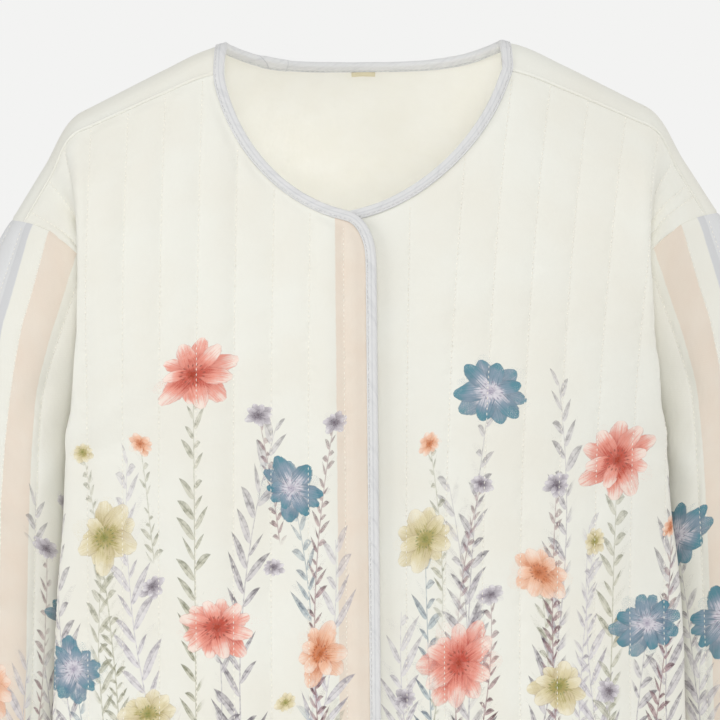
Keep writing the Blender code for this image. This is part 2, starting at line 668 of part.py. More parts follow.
def main():
    clear_scene()
    jacket = bpy.data.collections.new("quilted_jacket")
    bpy.context.scene.collection.children.link(jacket)
    cloth = new_material("quilted_cotton", IVORY, 0.85)
    trim = new_material("binding_cotton", PALE_GREY, 0.8)
    beige = new_material("tab_tape", TAB_BEIGE, 0.8)

    left = mirrored(front_panel(LEFT_FRONT))
    right = front_panel(RIGHT_FRONT)
    back = back_panel()
    sleeves = {}
    for name, front, side in (("left", left, -1), ("right", right, 1)):
        picked = armhole_edge(front, back, side)
        edge = np.array([panel.points[r, c] for panel, r, c in picked])
        sleeve = sleeve_panel(edge * [side, 1, 1])
        sleeves[name] = mirrored(sleeve) if side < 0 else sleeve
        meet_at_armhole(picked, sleeves[name])

    for name, panel in (("front_left", left), ("front_right", right), ("back", back)):
        loft(name, panel.outer(), panel.inner(), False, cloth, jacket)
    for name, panel in sleeves.items():
        loft(f"sleeve_{name}", panel.outer(), panel.inner(), True, cloth, jacket)
    binding(left, back, right, trim, jacket)
    neck_tab(back, beige, jacket)


main()
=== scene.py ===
"""Looks of the cropped quilted jacket: quilted printed panels, sleeves, bound edges and stitching.

Every panel is a fine closed wall on the same lines as the solid that it replaces. Lengths are in millimetres
until they reach a mesh. The front looks along -Y, +Z is up, and the origin lies between the neck points.
"""

import math
from collections import namedtuple

import bmesh
import bpy
import numpy as np
from mathutils import Matrix, Vector


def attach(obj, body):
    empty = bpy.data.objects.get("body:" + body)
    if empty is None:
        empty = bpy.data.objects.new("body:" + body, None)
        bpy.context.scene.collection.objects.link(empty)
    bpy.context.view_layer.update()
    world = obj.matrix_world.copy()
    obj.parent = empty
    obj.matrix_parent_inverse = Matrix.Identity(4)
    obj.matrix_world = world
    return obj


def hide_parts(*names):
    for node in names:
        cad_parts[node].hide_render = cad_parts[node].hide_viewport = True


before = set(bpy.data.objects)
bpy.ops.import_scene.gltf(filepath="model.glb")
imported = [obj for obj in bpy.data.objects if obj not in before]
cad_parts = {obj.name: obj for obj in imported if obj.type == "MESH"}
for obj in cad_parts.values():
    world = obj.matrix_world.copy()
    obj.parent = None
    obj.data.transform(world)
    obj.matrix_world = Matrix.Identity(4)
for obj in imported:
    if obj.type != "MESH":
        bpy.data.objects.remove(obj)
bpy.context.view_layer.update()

MM = 0.001

# Sizes shared with the solids
HEM_Z = -545.0  # hem below the neck points
UNDERARM_Z = -302.0
NECK_HALF = 105.0  # neck point from the centre line
NECK_REACH = 107.5  # half width that the front necklines' curves aim for
BACK_NECK_DEPTH, BACK_NECK_ROUNDNESS = 15.5, 3.5
LIFT_FULL, LIFT_GONE = 24.0, 84.0  # the upper front's lift fades between these, from the centre line
PANEL_HALF = 305.0  # centre line to side seam along the cloth
SHOULDER_SLOPE, SHOULDER_SOFT = 0.45, 20.0
SEAM_START_Z = -17.0  # forward shoulder seam at the neck, before it slopes
SEAM_FORWARD = 21.0  # the seam lies this far below the shoulder ridge at the neck
SEAM_FORWARD_LOSS = 7.0  # and so much less at the shoulder's end
RIDGE_Y, SEAM_Y, OVER_Y, OVER_DROP = 3.0, -28.0, -13.0, 5.0
SHOULDER_END, OVER_TUCK_X = 212.0, 237.0
CHEST_FULLNESS = 0.85  # below 1, the chest keeps its depth further up

# Quilted cloth
WALL = 2.4  # thickness at a stitch line
PUFF = 1.4  # how far a channel swells above its stitch lines
CHANNEL = 27.8  # stitch line to stitch line
SEAM_FADE = 10.0  # the puff dies away over this distance from a seam or bound edge
SEAM_GAP = 0.15  # the solids leave more room
PLAIN_STRIP = 4.0  # the quilting of the back ends this far behind the shoulder ridge
PLAIN_FROM = NECK_HALF - 12.0  # from here on, outwards from the centre line
PIT_GAP = 1.2  # the sleeve stands this far off the body at the underarm, where the two lie face to face

# Each front: how far it runs past the centre line, the depth and the curve's exponent of its neckline, its
# rounded corner, its first stitch line from the centre, and how far it rides over the other front
FrontCut = namedtuple("FrontCut", "edge neck_depth neck_roundness corner_wide corner_tall first_line lift")
LEFT_FRONT = FrontCut(6.8, 130.0, 1.94, 19.0, 34.0, 16.5, 7.0)
RIGHT_FRONT = FrontCut(20.0, 128.5, 1.72, 9.0, 14.0, 27.6, 0.0)

# Binding strip and neck tab
BIND_WIDTH, BIND_WALL, BIND_GAP = 6.6, 1.0, 0.6
TAB_HALF, TAB_TALL, TAB_WALL, TAB_GAP = 9.0, 5.0, 1.2, 0.4

# Armhole loop: from the dropped shoulder tip down to the underarm
ARM_TIP = np.array([263.0, 0.0, -130.0])
ARM_PIT = np.array([195.0, 5.0, UNDERARM_Z])
ARM_HALF_DEPTH = 62.0
ARM_BOW = np.array([-28.0, 0.0, 37.0])  # front and back of the loop bow inwards and up
SEAM_ANGLE, OVER_ANGLE = math.radians(28), math.radians(14)

TorsoRow = namedtuple(
    "TorsoRow",
    "name z front_y fold_x fold_y tuck_x tuck_y side_x side_y"
    " back_tuck_x back_tuck_y back_fold_x back_fold_y back_y",
)
TORSO_ROWS = [
    TorsoRow("hem", HEM_Z, -104, 233, -66, 217, -30, 204, 4, 211, 34, 219, 66, 98),
    TorsoRow("waist", -425, -106, 230, -68, 212, -34, 198, 4, 205, 36, 213, 68, 98),
    TorsoRow("underarm", UNDERARM_Z, -107, 221, -74, 201, -46, 195, 5, 196, 46, 207, 72, 99),
]

# Front rows from the underarm to the shoulder seam. rise runs from 0 at the underarm to 1 at the seam.
ChestRow = namedtuple("ChestRow", "name rise fold_x fold_y tuck_x tuck_y")
CHEST_ROWS = [
    ChestRow("bust", 0.2, 216, -79, 198, -60),
    ChestRow("chest", 0.4, 212, -80, 195, -64),
    ChestRow("upper chest", 0.6, 210.5, -76, 199, -61),
    ChestRow("collarbone", 0.8, 211, -62, 213, -47),
    ChestRow("seam", 1.0, 214, -27, 233, -27),
]

# Back rows from the underarm to the ridge. turn is the angle round the shoulder blade, in degrees.
BladeRow = namedtuple("BladeRow", "name turn share fold_x fold_y tuck_x tuck_y")
BLADE_ROWS = [
    BladeRow("blade", 22, 0.42, 204, 72, 195.5, 66.5),
    BladeRow("upper back", 42, 0.62, 203, 69, 198, 67.5),
    BladeRow("yoke", 60, 0.79, 204, 60, 209, 57),
    BladeRow("shoulder", 76, 0.92, 208, 38, 225, 37),
    BladeRow("ridge", 90, 1.0, SHOULDER_END, 4, 238, 3),
]
# How square the back's turn is at the centre and at the shoulder, and how far out it gets there
BACK_BOX, BLADE_BOX, BOX_FADE = 3.3, 2.0, 150.0

SleeveRow = namedtuple("SleeveRow", "name x y z half_wide half_deep rise")
SLEEVE_ROWS = [
    SleeveRow("upper arm", 250, 8, -262, 46, 66, 62),
    SleeveRow("biceps", 256, 9, -335, 51, 64, 30),
    SleeveRow("elbow", 259, 12, -420, 51, 58, 12),
    SleeveRow("forearm", 261, 14, -510, 48, 53, 4),
    SleeveRow("cuff", 262, 13, -595, 45, 48, 0),
]
LINE_SAMPLES = 481  # points on every guide line


def fade(low, high, value):
    """0 below low, 1 above high, smooth in between."""
    share = np.clip((value - low) / (high - low), 0, 1)
    return share * share * (3 - 2 * share)


def run(points):
    """Distance along a line of points."""
    steps = np.linalg.norm(np.diff(points, axis=0), axis=1)
    return np.concatenate([[0], np.cumsum(steps)])


def unit(vectors):
    return vectors / np.maximum(np.linalg.norm(vectors, axis=-1, keepdims=True), 1e-9)


def points_along(line, along, places):
    """Points at some places on a line."""
    return np.column_stack([np.interp(places, along, line[:, k]) for k in range(line.shape[1])])


def calm_slopes(knots, values):
    """Slopes that don't overshoot: level at a turning point, else between the neighbours' slopes."""
    chords = np.diff(values, axis=0) / np.diff(knots)[:, None, None]
    before, after = chords[:-1], chords[1:]
    total = np.where(before + after == 0, 1, before + after)
    both = np.where(before * after > 0, 2 * before * after / total, 0)
    return np.concatenate([chords[:1], both, chords[-1:]])


def curve(knots, values, at):
    """A smooth curve through values at the knots; values may hold one curve for each place in at."""
    i = np.clip(np.searchsorted(knots, at, side="right") - 1, 0, len(knots) - 2)
    step = (knots[i + 1] - knots[i])[:, None]
    f = ((at - knots[i]) / step[:, 0])[:, None]
    if values.ndim == 3:
        slopes, each = calm_slopes(knots, values), np.arange(len(at))
        p0, p1, m0, m1 = values[i, each], values[i + 1, each], slopes[i, each], slopes[i + 1, each]
    else:
        slopes = np.gradient(values, knots, axis=0)
        p0, p1, m0, m1 = values[i], values[i + 1], slopes[i], slopes[i + 1]
    bend = f * f * (3 - 2 * f)
    return p0 + bend * (p1 - p0) + step * (f * (1 - f) ** 2 * m0 - f * f * (1 - f) * m1)


# Lines of the body

def seam_z(x):
    beyond = x - NECK_HALF
    return SEAM_START_Z - SHOULDER_SLOPE * (beyond + np.sqrt(beyond**2 + SHOULDER_SOFT**2)) / 2


def ridge_z(x):
    loss = SEAM_FORWARD_LOSS * np.clip((x - NECK_HALF) / (SHOULDER_END - NECK_HALF), 0, 1)
    return seam_z(x) + SEAM_FORWARD - loss


def neck_z(s, cut):
    """Height of a front's neckline at a distance s from the centre line, before its corner is rounded."""
    share = (np.clip(s, -cut.edge, NECK_HALF) + cut.edge) / (NECK_REACH + cut.edge)
    return -cut.neck_depth * (1 - share**cut.neck_roundness) ** (1 / cut.neck_roundness)


def corner_drop(s, cut):
    into = np.clip((cut.corner_wide - cut.edge - s) / cut.corner_wide, 0, 1)
    return cut.corner_tall * (1 - np.sqrt(1 - into**2))


def back_neck_z(s):
    return -BACK_NECK_DEPTH * (1 - (np.abs(s) / NECK_HALF) ** BACK_NECK_ROUNDNESS)


def arm_loop(angle):
    """Armhole loop: 0 at the shoulder tip, a quarter turn at the front, a half turn at the underarm."""
    angle = np.atleast_1d(angle)[:, None]
    centre, reach = (ARM_TIP + ARM_PIT) / 2, (ARM_TIP - ARM_PIT) / 2
    deep = np.array([0, -ARM_HALF_DEPTH, 0])
    return centre + np.cos(angle) * reach + np.sin(angle) * deep + np.sin(angle) ** 2 * ARM_BOW


def arm_point(start, end, share):
    """A point on the armhole, at a share of the way along it from one angle to another."""
    angles = np.linspace(start, end, LINE_SAMPLES)
    along = run(arm_loop(angles))
    return arm_loop(np.interp(share * along[-1], along, angles))[0]


# Rows of the body, each a line from the centre to the side seam or the armhole

SPREAD = np.array([0, 0.2, 0.4, 0.55, 0.7, 0.85, 0.95])  # places across a row, as shares of its fold
FLATNESS = 3.4  # how flat a row lies before it turns at its fold


def row_line(chest, fold, tuck, edge):
    """(cloth distance, points) along one row. The distance is level up to the fold and even beyond it."""
    control = np.vstack([chest, fold, tuck, edge])
    knots = run(control)
    places = np.linspace(0, knots[-1], LINE_SAMPLES)
    line = curve(knots, control, places)
    level, whole = run(line[:, :2]), run(line)
    level_fold, whole_fold = (np.interp(knots[-3], places, x) for x in (level, whole))
    beyond = (whole - whole_fold) / (whole[-1] - whole_fold)
    return np.where(places <= knots[-3], level, level_fold + beyond * (PANEL_HALF - level_fold)), line


def across(fold_x, centre_y, fold_y, height):
    x = SPREAD * fold_x
    y = centre_y + (fold_y - centre_y) * SPREAD**FLATNESS
    return np.column_stack([x, y, height(x)])


def torso_row(row, back):
    def level(x):
        return np.full(np.shape(x), float(row.z))

    if back:
        chest = across(row.back_fold_x, row.back_y, row.back_fold_y, level)
        fold, tuck = (row.back_fold_x, row.back_fold_y), (row.back_tuck_x, row.back_tuck_y)
    else:
        chest = across(row.fold_x, row.front_y, row.fold_y, level)
        fold, tuck = (row.fold_x, row.fold_y), (row.tuck_x, row.tuck_y)
    return row_line(chest, (*fold, row.z), (*tuck, row.z), (row.side_x, row.side_y, row.z))


def chest_row(row):
    def height(x):
        return UNDERARM_Z + row.rise * (seam_z(x) - UNDERARM_Z)

    deepest = TORSO_ROWS[-1].front_y
    centre_y = SEAM_Y + (deepest - SEAM_Y) * math.sin(math.pi / 2 * (1 - row.rise)) ** CHEST_FULLNESS
    edge = arm_point(math.pi, SEAM_ANGLE, row.rise)
    fold = (row.fold_x, row.fold_y, float(height(row.fold_x)))
    tuck = (row.tuck_x, row.tuck_y, (fold[2] + edge[2]) / 2)
    return row_line(across(row.fold_x, centre_y, row.fold_y, height), fold, tuck, edge)


def blade_row(row):
    turn = math.radians(row.turn)
    x = np.append(SPREAD, 1) * row.fold_x
    box = BACK_BOX + (BLADE_BOX - BACK_BOX) * fade(0, BOX_FADE, x)
    z = UNDERARM_Z + math.sin(turn) ** (2 / box) * (ridge_z(x) - UNDERARM_Z)
    out = max(math.cos(turn), 0) ** (2 / box[:-1])
    below = TORSO_ROWS[-1]
    level_y = below.back_y + (below.back_fold_y - below.back_y) * SPREAD**FLATNESS
    y = RIDGE_Y + (level_y - RIDGE_Y) * out
    edge = arm_point(math.pi, 2 * math.pi, row.share)
    tuck = (row.tuck_x, row.tuck_y, (z[-1] + edge[2]) / 2)
    return row_line(np.column_stack([x[:-1], y, z[:-1]]), (row.fold_x, row.fold_y, z[-1]), tuck, edge)


def over_row():
    """The row just in front of the ridge, where the back wraps over the shoulder."""
    def height(x):
        return ridge_z(x) - OVER_DROP

    edge = arm_loop(OVER_ANGLE)[0]
    fold = (SHOULDER_END, OVER_Y, float(height(SHOULDER_END)))
    tuck = (OVER_TUCK_X, OVER_Y, (fold[2] + edge[2]) / 2)
    return row_line(across(SHOULDER_END, OVER_Y, OVER_Y, height), fold, tuck, edge)


class Surface:
    """A loft through rows: s runs along the cloth from the centre line, v up it, both in millimetres."""

    def __init__(self, rows, facing):
        self.rows, self.facing = rows, facing
        self.v = run(np.vstack([points_along(line, along, [NECK_HALF]) for along, line in rows]))
        self.underarm, self.top = self.v[len(TORSO_ROWS) - 1], self.v[-1]

    def points(self, s, v):
        s, v = np.broadcast_arrays(np.asarray(s, float), np.asarray(v, float))
        flat_s, flat_v = np.abs(s).ravel(), v.ravel()
        rows = np.array([points_along(line, along, flat_s) for along, line in self.rows])
        found = curve(self.v, rows, flat_v)
        found[:, 0] *= np.where(s.ravel() < 0, -1, 1)
        return found.reshape(*s.shape, 3)

    def normals(self, s, v, step=1.5):
        limit = PANEL_HALF
        along = self.points(np.minimum(s + step, limit), v) - self.points(np.maximum(s - step, -limit), v)
        up = self.points(s, np.minimum(v + step, self.top)) - self.points(s, np.maximum(v - step, 0))
        return unit(np.cross(along, up)) * self.facing

    def v_at_height(self, s, z, highest):
        """How far up the cloth column s reaches height z, looking below v = highest."""
        v = np.linspace(0, highest, LINE_SAMPLES)
        return float(np.interp(z, self.points(np.full(len(v), s), v)[:, 2], v))


FRONT = Surface([torso_row(r, False) for r in TORSO_ROWS] + [chest_row(r) for r in CHEST_ROWS], 1)
BACK = Surface(
    [torso_row(r, True) for r in TORSO_ROWS]
    + [blade_row(r) for r in BLADE_ROWS]
    + [over_row(), chest_row(CHEST_ROWS[-1])],
    -1,
)
RIDGE_V = BACK.v[len(TORSO_ROWS) + len(BLADE_ROWS) - 1]


# Fine walls

PER_CHANNEL, CROWDING = 12, 0.6  # columns in a channel, and how much they crowd beside its stitch lines
ROW_STEP, BACK_ROW_STEP = 3.2, 4.0
# How far a channel swells, how full it is between its stitch lines, and how far its crest leans outwards
Puff = namedtuple("Puff", "height bulge lean")
EVEN_PUFF, LEFT_PUFF, RIGHT_PUFF = Puff(PUFF, 2.7, 1.0), Puff(2.1, 2.2, 1.15), Puff(0.8, 2.7, 1.0)
FULLNESS_SWING, FULLNESS_SIZE, CHANNEL_SWING = 0.16, 90.0, 0.1  # how unevenly the channels are filled
PUCKER, PUCKER_OFF, PUCKER_WIDE, PUCKER_LONG = 0.42, 2.2, 2.6, 10.0  # small gathers beside a stitch line
SAG, SAG_SIZE = 0.5, 170.0  # a slow swell over a whole panel
CREASE_BOW = 0.12  # how far a crease bends aside, as a share of its length
CREASE_FADE, BIND_FADE = (2.0, 22.0), (-3.0, 6.0)  # where creases and all relief die away beside an edge
NO_SEAM = 99.0  # stands for a distance from a seam that is too far to matter

# Seams
SEAM_DIP, SEAM_ROLL = 0.5, 1.0  # the cloth turns down into a seam by so much, over this distance
SEAM_RIDGE, RIDGE_OFF, RIDGE_WIDE = 0.3, 2.2, 1.2  # and lies in a low ridge beside it, where it is pressed
SHOULDER_RIDGE, SHOULDER_OFF, SHOULDER_ROLL = 0.7, 1.3, 0.9  # the back's edge stands up along this seam
SEAM_ROWS = np.array([2.7, 1.9, 1.2, 0.6, 0])  # rows close to a panel's top edge

# Columns and places that lie close together where an edge turns
COLUMN_CLEAR = 0.5  # least way from a quilting column to a panel's side
EDGE_STEPS = np.array([0.3, 0.8, 1.7, 3, 4.6, 6.4])  # beside a front's bound edge
NECK_POINT_STEPS, BACK_NECK_STEPS = np.arange(98.0, 105.0, 0.6), np.arange(98.0, 105.0, 0.5)
NECK_TURN = np.array([101.5, 102.5, 103.2, 103.8, 104.3, 104.7, NECK_HALF])
CORNER_ROWS = 0.6  # rows above this share of the way up follow a front's rounded corner
CORNER_END, NECK_START, NECK_END = 14.0, 15.0, 104.9  # on a front's bound edge, from the centre line
BACK_NECK_END, TURN_START = 100.0, 101.0  # on the back's bound edge
PATH_STEP = 6.0

# Stitch lines
LEAN_START = 57.0  # up from the hem, where the stitch lines of the fronts start to lean
LEFT_LEAN, RIGHT_LEAN = -8.5, 28.0  # how far they lean at the shoulder
LEAN_FROM_EDGE, LEAN_TO_SIDE = (5.0, 60.0), (235.0, 300.0)  # across a front, where the lean sets in and ends
LEAN_ROUNDS = 4  # rounds in which the leaning columns find the panel's top edge
SLEEVE_CHANNELS, CHANNELS_BEFORE = 13, 9  # round a sleeve, and before its named stitch line
WAVES = 7  # crossing waves in a swell


def waver(x, y, size, seed):
    """A soft uneven swell between about -1 and 1, from a few crossing waves."""
    chance = np.random.default_rng(seed)
    total = 0
    for _ in range(WAVES):
        turn, phase = chance.uniform(0, 2 * math.pi, 2)
        length = size * chance.uniform(0.7, 1.6)
        total = total + np.sin((x * math.cos(turn) + y * math.sin(turn)) * 2 * math.pi / length + phase)
    return total / (WAVES / 2)


def channel_shares():
    """Where a channel's columns lie across it."""
    share = np.arange(PER_CHANNEL) / PER_CHANNEL
    return share - CROWDING * np.sin(2 * math.pi * share) / (2 * math.pi)


def quilt_columns(start, end, first_line, extra):
    """Columns of a panel, so many in each channel, with some extra ones."""
    first, last = math.floor((start - first_line) / CHANNEL), math.ceil((end - first_line) / CHANNEL)
    numbers = np.arange(first, last + 1)
    places = (first_line + CHANNEL * (numbers[:, None] + channel_shares())).ravel()
    inside = places[(places > start + COLUMN_CLEAR) & (places < end - COLUMN_CLEAR)]
    return np.unique(np.concatenate([[start], inside, extra, [end]]).round(3))


def even(count):
    return np.linspace(0, 1, count)[:, None]


def rows_to(surface, tops, drops, step):
    """v of every grid point: level rows below the underarm, then spread to each column's top."""
    lower = even(round(surface.underarm / step)) * np.full(len(tops), surface.underarm)
    tall = surface.top - surface.underarm
    close = 1 - SEAM_ROWS / tall
    share = even(round(tall / step) + 1)
    share = np.vstack([share[share[:, 0] < close[0]], close[:, None]])
    upper = surface.underarm + share * (tops - surface.underarm)
    upper = upper - drops * np.clip((share - CORNER_ROWS) / (1 - CORNER_ROWS), 0, 1)
    return np.vstack([lower[:-1], upper])


def reach_to(path, s, v):
    """Distance of places on the cloth from a path on it."""
    reach = np.full(s.shape, np.inf)
    for a, b in zip(path, path[1:]):
        way = b - a
        share = np.clip(((s - a[0]) * way[0] + (v - a[1]) * way[1]) / (way @ way), 0, 1)
        reach = np.minimum(reach, np.hypot(s - a[0] - share * way[0], v - a[1] - share * way[1]))
    return reach


def resampled(path, step):
    along = run(path)
    return points_along(path, along, np.linspace(0, along[-1], max(2, round(along[-1] / step))))


def inside_binding(path, s, v):
    """How far places on the cloth lie inside the strip that binds its edge."""
    return reach_to(resampled(path, PATH_STEP), s, v) - BIND_WIDTH


def front_top(s, cut):
    """v of a front's top edge: neckline, then shoulder seam."""
    seam = FRONT.top - SEAM_GAP
    return seam if s >= NECK_HALF else min(seam, FRONT.v_at_height(s, neck_z(s, cut), seam))


def back_top(s):
    """v of the back's top edge: neckline, then a short turn up to the shoulder seam."""
    s = abs(s)
    if s < NECK_TURN[0]:
        return BACK.v_at_height(s, back_neck_z(s), RIDGE_V)
    below = BACK.v_at_height(NECK_TURN[0], back_neck_z(NECK_TURN[0]), RIDGE_V)
    return float(np.interp(s, NECK_TURN, np.linspace(below, BACK.top, len(NECK_TURN))))


def front_path(cut):
    """Places along a front's bound edge: up from the hem, round the corner and along the neck."""
    s = np.concatenate([np.linspace(-cut.edge, CORNER_END, 40), np.linspace(NECK_START, NECK_END, 90)])
    top = np.column_stack([s, [front_top(x, cut) - corner_drop(x, cut) for x in s]])
    up = np.linspace((-cut.edge, 0), top[0], 60, endpoint=False)
    return np.vstack([up, top])


def back_path():
    """Places along the back's bound edge, from one neck point to the other."""
    first, last = np.linspace(-NECK_HALF, -TURN_START, 30), np.linspace(TURN_START, NECK_HALF, 30)
    s = np.concatenate([first, np.linspace(-BACK_NECK_END, BACK_NECK_END, 80), last])
    return np.column_stack([s, [back_top(x) for x in s]])


def turned_down(reach):
    """Height beside a seam at a distance from it."""
    ridge = SEAM_RIDGE * np.exp(-(((reach - RIDGE_OFF) / RIDGE_WIDE) ** 2))
    return ridge - SEAM_DIP * np.exp(-((reach / SEAM_ROLL) ** 2))


class Cloth:
    """One panel: points and normals of its plain outer face, where they lie on the cloth, and its relief."""

    def __init__(self, columns, s, v, points, normals, height):
        self.columns, self.s, self.v = columns, s, v
        self.points, self.normals, self.height = points, normals, height

    def outer(self):
        return self.points + self.normals * self.height[..., None]

    def inner(self):
        return self.points - self.normals * WALL

    def mirror(self):
        """Makes it the panel of the other side."""
        for grid in (self.points, self.normals):
            grid[..., 0] *= -1


Crease = namedtuple("Crease", "s v end_s end_v width height")


def creased(s, v, creases):
    """Soft troughs and ridges, each fading towards its two ends."""
    total = np.zeros(s.shape)
    for c in creases:
        way = np.array([c.end_s - c.s, c.end_v - c.v])
        share = ((s - c.s) * way[0] + (v - c.v) * way[1]) / (way @ way)
        bend = CREASE_BOW * np.linalg.norm(way) * np.sin(3 * share + c.s)
        off = ((s - c.s) * way[1] - (v - c.v) * way[0]) / np.linalg.norm(way) - bend
        ends = np.clip(share * (1 - share) * 4, 0, 1) ** 0.8
        total += c.height * ends * np.exp(-((off / c.width) ** 2))
    return total


def quilted(s, v, first_line, puff, clear, seed):
    """Height of the quilting: pillows between the stitch lines, with small puckers along them."""
    place = np.mod((s - first_line) / CHANNEL, 1)
    number = np.floor((s - first_line) / CHANNEL)
    fullness = 1 + FULLNESS_SWING * waver(s, v, FULLNESS_SIZE, seed)
    fullness = fullness + CHANNEL_SWING * np.sin(number * 2.1 + seed)
    pillow = puff.height * fullness * (1 - np.abs(2 * place**puff.lean - 1) ** puff.bulge)
    off_line = np.minimum(place, 1 - place) * CHANNEL
    pucker = PUCKER * np.exp(-(((off_line - PUCKER_OFF) / PUCKER_WIDE) ** 2))
    pucker = pucker * waver(s * 0.35 + number * 40, v, PUCKER_LONG, seed + 1)
    return (pillow + pucker) * fade(0, SEAM_FADE, clear)


def panel_relief(places, s, v, first_line, puff, creases, bound, seam, plain, seed):
    """Height of a panel's quilting, slow swell and creases, which die away at its seams and bound edge."""
    clear = np.minimum(bound, seam)
    height = quilted(places, v, first_line, puff, np.minimum(clear, plain), seed)
    height += SAG * waver(s, v, SAG_SIZE, seed + 5)
    height += creased(s, v, creases) * fade(*CREASE_FADE, clear)
    return height * fade(*BIND_FADE, bound)


# s and v are places on the cloth
FRONT_CREASES = [
    Crease(196, 500, 250, 470, 8, 0.4),
    Crease(212, 480, 268, 430, 7, -0.4),
    Crease(226, 452, 282, 398, 9, 0.5),
    Crease(150, 300, 235, 262, 11, 1.2),
    Crease(170, 262, 240, 236, 9, -1.1),
    Crease(120, 205, 215, 188, 12, 1.0),
    Crease(40, 360, 120, 330, 16, 0.8),
    Crease(24, 150, 120, 128, 15, -0.8),
    Crease(150, 110, 250, 96, 13, 0.9),
    Crease(60, 40, 190, 28, 14, 0.8),
]
BACK_CREASES = [
    Crease(-150, 420, -70, 400, 18, 1.2),
    Crease(60, 430, 160, 405, 16, 1.2),
    Crease(-235, 330, -130, 285, 12, 1.6),
    Crease(-250, 290, -150, 250, 10, -1.3),
    Crease(120, 280, 240, 325, 12, 1.6),
    Crease(140, 245, 250, 285, 10, -1.3),
    Crease(-90, 190, 60, 172, 16, 1.0),
    Crease(-200, 130, -60, 112, 14, -0.9),
    Crease(40, 100, 210, 118, 15, 1.0),
    Crease(-120, 44, 70, 30, 15, 0.9),
]


def leaning(s, v, lean):
    """How far a front's stitch lines lean sideways: most at the shoulder, none at the hem, edge and side."""
    within = fade(*LEAN_FROM_EDGE, s) * (1 - fade(*LEAN_TO_SIDE, s))
    return lean * np.clip((v - LEAN_START) / (FRONT.top - LEAN_START), 0, 1) ** 2 * within


def lifted(s, lift):
    """How far a front that laps over the other rides forward of it."""
    return lift * (1 - fade(LIFT_FULL, LIFT_GONE, s))


def front_cloth(cut, lean, puff, seed):
    extra = np.append(NECK_POINT_STEPS - lean, EDGE_STEPS - cut.edge)
    columns = quilt_columns(-cut.edge, PANEL_HALF, cut.first_line, extra)
    tops = np.array([front_top(x, cut) for x in columns])
    for _ in range(LEAN_ROUNDS):
        tops = np.array([front_top(x, cut) for x in columns + leaning(columns, tops, lean)])
    v = rows_to(FRONT, tops, corner_drop(columns, cut), ROW_STEP)
    s = columns + leaning(columns, v, lean)
    points, normals = FRONT.points(s, v), FRONT.normals(s, v)
    points[..., 1] -= lifted(s, cut.lift)
    shoulder, side = s[-1] >= NECK_HALF, v[:, -1] <= FRONT.underarm
    normals[-1, shoulder] = unit(normals[-1, shoulder] + BACK.normals(s[-1, shoulder], BACK.top))
    normals[side, -1] = unit(normals[side, -1] + BACK.normals(PANEL_HALF, v[side, -1]))
    points[side, -1, 1] -= SEAM_GAP / 2
    seam = np.minimum(np.where(s > NECK_HALF, FRONT.top - v, NO_SEAM), PANEL_HALF - s)
    bound = inside_binding(front_path(cut), s, v)
    places = np.tile(columns, (len(v), 1))
    height = panel_relief(places, s, v, cut.first_line, puff, FRONT_CREASES, bound, seam, NO_SEAM, seed)
    return Cloth(columns, s, v, points, normals, height + turned_down(seam))


def back_cloth(seed):
    extra = np.concatenate([BACK_NECK_STEPS, -BACK_NECK_STEPS, [-NECK_HALF, NECK_HALF]])
    s = quilt_columns(-PANEL_HALF, PANEL_HALF, CHANNEL / 2, extra)
    tops = np.array([back_top(x) for x in s])
    v = rows_to(BACK, tops, np.zeros(len(s)), BACK_ROW_STEP)
    s = np.tile(s, (len(v), 1))
    points, normals = BACK.points(s, v), BACK.normals(s, v)
    side, flip = v[:, 0] <= BACK.underarm, np.array([-1, 1, 1])
    for column, way in ((-1, np.ones(3)), (0, flip)):
        normals[side, column] = unit(normals[side, column] + FRONT.normals(PANEL_HALF, v[side, column]) * way)
        points[side, column, 1] += SEAM_GAP / 2
    shoulder = np.abs(s[-1]) >= NECK_HALF
    over = FRONT.normals(np.abs(s[-1, shoulder]), FRONT.top)
    over[s[-1, shoulder] < 0] *= flip
    normals[-1, shoulder] = unit(normals[-1, shoulder] + over)
    to_shoulder = np.where(np.abs(s) > NECK_HALF, BACK.top - v, NO_SEAM)
    seam = np.minimum(to_shoulder, PANEL_HALF - np.abs(s))
    bound = inside_binding(back_path(), s, v)
    plain = np.where(np.abs(s) > PLAIN_FROM, (RIDGE_V - PLAIN_STRIP - v) / 2, NO_SEAM)
    height = panel_relief(s, s, v, CHANNEL / 2, EVEN_PUFF, BACK_CREASES, bound, seam, plain, seed)
    ridge = SHOULDER_RIDGE * np.exp(-(((to_shoulder - SHOULDER_OFF) / SHOULDER_ROLL) ** 2))
    height += ridge * fade(0, BIND_FADE[1], bound)
    return Cloth(s[0], s, v, points, normals, height + turned_down(seam))


SLEEVE_LINE = 0.205  # share of the way round, from its outer side, of a stitch line on the front of a sleeve
LOOP_SHIFT = 0.1  # the lines fan out from the slanting armhole until they run along the arm
SLEEVE_ROUND = 355.0  # about how far it is round a sleeve
SLEEVE_SAG, SLEEVE_SAG_SIZE, SLEEVE_CREASE_FADE = 0.4, 150.0, 18.0
PIT_FROM, PIT_SPREAD = 0.35, 0.6  # where the lower part of the armhole starts, and how far it spreads
# The sleeve's seam allowance, which reaches over the body's edge
LIP, LIP_IN, LIP_STEP = np.array([-6.0, 0, 2.5]), 1.4, 0.3


def share_round(line):
    """Share of the way round a loop, so that its inner side lies at exactly a half."""
    along, half = run(line), len(line) // 2
    second = 0.5 + (along - along[half]) / (along[-1] - along[half]) / 2
    return np.where(np.arange(len(line)) <= half, along / along[half] / 2, second)


